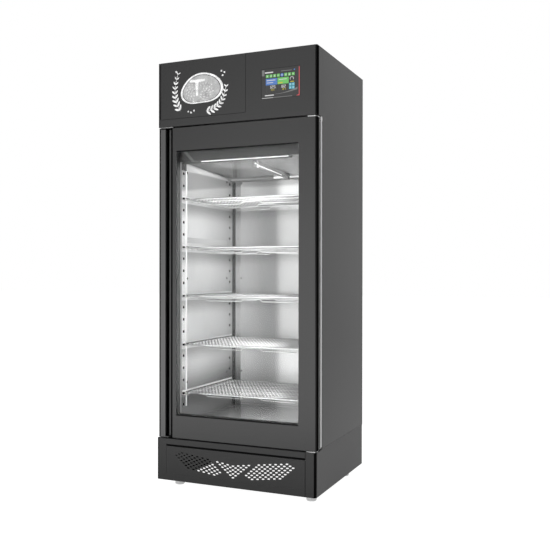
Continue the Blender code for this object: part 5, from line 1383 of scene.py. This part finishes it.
def make_flap_print():
    """A T-bone steak between two herb sprigs, in silver-grey on the flap."""
    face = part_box("service_flap")[0].y
    layers = [face - k * TILE for k in range(4)]
    rim = band(cut_outline(1.0), cut_outline(FAT_SHARE), layers[1], layers[0])
    crossbar = rounded_rectangle(BONE_X - 0.040, BONE_X + 0.046, BONE_TOP - 0.011, BONE_TOP + 0.001,
                                 0.0055)
    t = np.linspace(0, 1, 12)
    down = BONE_TOP - STEM_TOP - STEM_LENGTH * t
    left = np.column_stack([BONE_X - 0.0105 + 0.006 * t ** 0.5, down])
    right = np.column_stack([BONE_X + 0.0115 - 0.005 * t ** 0.5, down])
    stem = np.concatenate([left, right[::-1]])
    middle = np.array(PRINT_MIDDLE)
    sprigs = sprig(middle + (-0.100, -0.098), middle + (-0.158, -0.02), middle + (-0.118, 0.088))
    sprigs += sprig(middle + (0.030, -0.104), middle + (0.128, -0.104), middle + (0.146, 0.004))
    corns = [disc(*(middle + offset), 0.0045, 14) for offset in CORNS]
    light = [rim, sheets(flecks() + [crossbar], layers[2], layers[1]),
             sheets([stem], layers[3], layers[1]), sheets(sprigs + corns, layers[1], layers[0])]
    add_piece("flap_print_light", light, "print_light", "flap")
    add_sheets("flap_print_meat", [cut_outline(MEAT_SHARE)], face, TILE, "print_mid",
               "flap")


# Studio

CAMERA_PLACE = (1.62717, -3.59212, 1.06557)
CAMERA_TURN = 0.410974
CAMERA_PITCH = math.pi / 2 - 0.0029257
CAMERA_ROLL = 0.0012085
CAMERA_LENS = 50.0553
SENSOR_WIDTH = 36.0
FLOOR_REACH = 30.0


def make_camera():
    data = bpy.data.cameras.new("camera")
    data.sensor_width = SENSOR_WIDTH
    data.lens = CAMERA_LENS
    camera = link_new("camera", data)
    camera.matrix_world = (Matrix.Translation(CAMERA_PLACE)
                           @ Matrix.Rotation(CAMERA_TURN, 4, "Z")
                           @ Matrix.Rotation(CAMERA_PITCH, 4, "X")
                           @ Matrix.Rotation(CAMERA_ROLL, 4, "Z"))
    bpy.context.scene.camera = camera


def make_world():
    """A bright field to the front left, a dim one round the right corner, paler behind."""
    world = bpy.data.worlds.new("studio")
    bpy.context.scene.world = world
    world.use_nodes = True
    tree = Tree(world.node_tree)
    surface = world.node_tree.nodes["Background"]
    facing = tree.add("ShaderNodeTexCoord").outputs["Generated"]
    x, y, z = tree.add("ShaderNodeSeparateXYZ", facing).outputs
    azimuth = tree.math("DEGREES", tree.math("ARCTAN2", x, tree.times(y, -1.0)))
    dim = tree.ramps((azimuth, -14.0, -5.0), (azimuth, 120.0, 148.0, 1.0, 0.0))
    from_peak = tree.size(tree.math("ADD", azimuth, 20.0))
    bright = tree.ramps((from_peak, 0.0, 26.0, 3.0, 0.35), (z, -0.05, 0.32, 1.0, 0.35))
    behind = tree.above(azimuth, 60.0)
    level = tree.mix(behind, tree.add("ShaderNodeCombineColor", bright, bright, bright).outputs[0],
                     grey(0.62))
    level = tree.mix(dim, level, grey(0.10))
    seen = tree.add("ShaderNodeLightPath").outputs["Is Camera Ray"]
    tree.put(surface.inputs["Color"], tree.mix(seen, level, grey(1.0)))


def make_floor():
    """A plain pale floor: white to the camera, dimmer in reflections to the rear than in front."""
    material, tree, skin = new_material("studio_floor", Base_Color=grey(0.35), Roughness=0.9,
                                        Specular_IOR_Level=0.0, Emission_Color=grey(1.0))
    y = tree.axes()[1]
    mirrored = tree.ramps((y, -2.4, -0.8, 2.0, 1.0), (y, -0.9, -0.1, 1.1, 0.5))
    seen = tree.add("ShaderNodeLightPath").outputs["Is Camera Ray"]
    shade = tree.add("ShaderNodeMix", seen, None, mirrored, 1.0).outputs[0]
    tree.put(skin["Emission Strength"], shade)
    corners = at(*(FLOOR_REACH * panel(-1, 1, -1, 1)).T, 0.0)
    mesh = build_mesh("floor", [(corners, [[0, 1, 2, 3]])])
    mesh.materials.append(material)
    floor = link_new("floor", mesh)


def add_panel_light(name, place, target, size, power, seen=True, spread=180.0):
    """A rectangular soft light at a place, turned to a target."""
    data = bpy.data.lights.new(name, "AREA")
    data.shape = "RECTANGLE"
    data.size, data.size_y = size
    data.energy = power
    data.spread = math.radians(spread)
    lamp = link_new(name, data)
    lamp.location = place
    lamp.rotation_euler = (Vector(target) - Vector(place)).to_track_quat("-Z", "Y").to_euler()
    lamp.visible_camera = False
    lamp.visible_glossy = seen


BAY_LIGHT_POWER = 0.68
BAY_LIGHT_SPREAD = 85.0
BAY_LIGHT_SIZE = (0.03, 0.05)
BAY_LIGHT_GAP = 0.03
BAY_LIGHT_TARGET = 0.30
FULL_BAY = 0.24
TOP_BAY_BOOST = 1.3


def make_lights():
    """One light overhead, and in each bay one at each front corner, turned to the far walls.
    The light of a bay goes down with its height, and the top bay has a little more."""
    add_panel_light("overhead", (0.0, -0.6, cad_box[1].z + 2.2), (0, 0, 0), (3.0, 3.0), 60.0)
    shelves = [sum(corner.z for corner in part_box(f"shelf_{number}")) / 2 for number in SHELVES]
    edges = [FLOOR_TOP, *shelves, COOLER_LOW.z]
    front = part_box("front_frame")[1].y + BAY_LIGHT_GAP
    width, height = BAY_LIGHT_SIZE
    for number, (low, high) in enumerate(zip(edges[:-1], edges[1:]), 1):
        middle = (low + high) / 2
        share = min(1.0, (high - low) / FULL_BAY)
        strength = BAY_LIGHT_POWER * share * (TOP_BAY_BOOST if high == COOLER_LOW.z else 1.0)
        for side, sign, power, aim in (("right", 1, 1.6, 0.02), ("left", -1, 1.2, 0.15)):
            place = (sign * (LINING_FACE - BAY_LIGHT_GAP), front, middle)
            target = (-sign * BAY_LIGHT_TARGET, aim, middle)
            add_panel_light(f"bay_{number}_{side}", place, target, (width, height * share),
                            strength * power, seen=False, spread=BAY_LIGHT_SPREAD)


make_camera()
make_world()
make_floor()
make_lights()
dress_nodes()
for shelf_number in SHELVES:
    make_wire_shelf(shelf_number)
for make_pieces in (make_slot_fills, make_screws, make_steel_trim, make_header, make_grille_shadows,
                    make_shelf_shadows, make_floor_seams, make_air_slot_screens, make_lamp_lines,
                    make_hole_rims, make_hinge_painted_highlights, make_corner_shadows, make_handle_cap,
                    make_window_border, make_flap_seams, make_display, make_flap_print):
    make_pieces()
bpy.context.scene.view_settings.view_transform = "Standard"
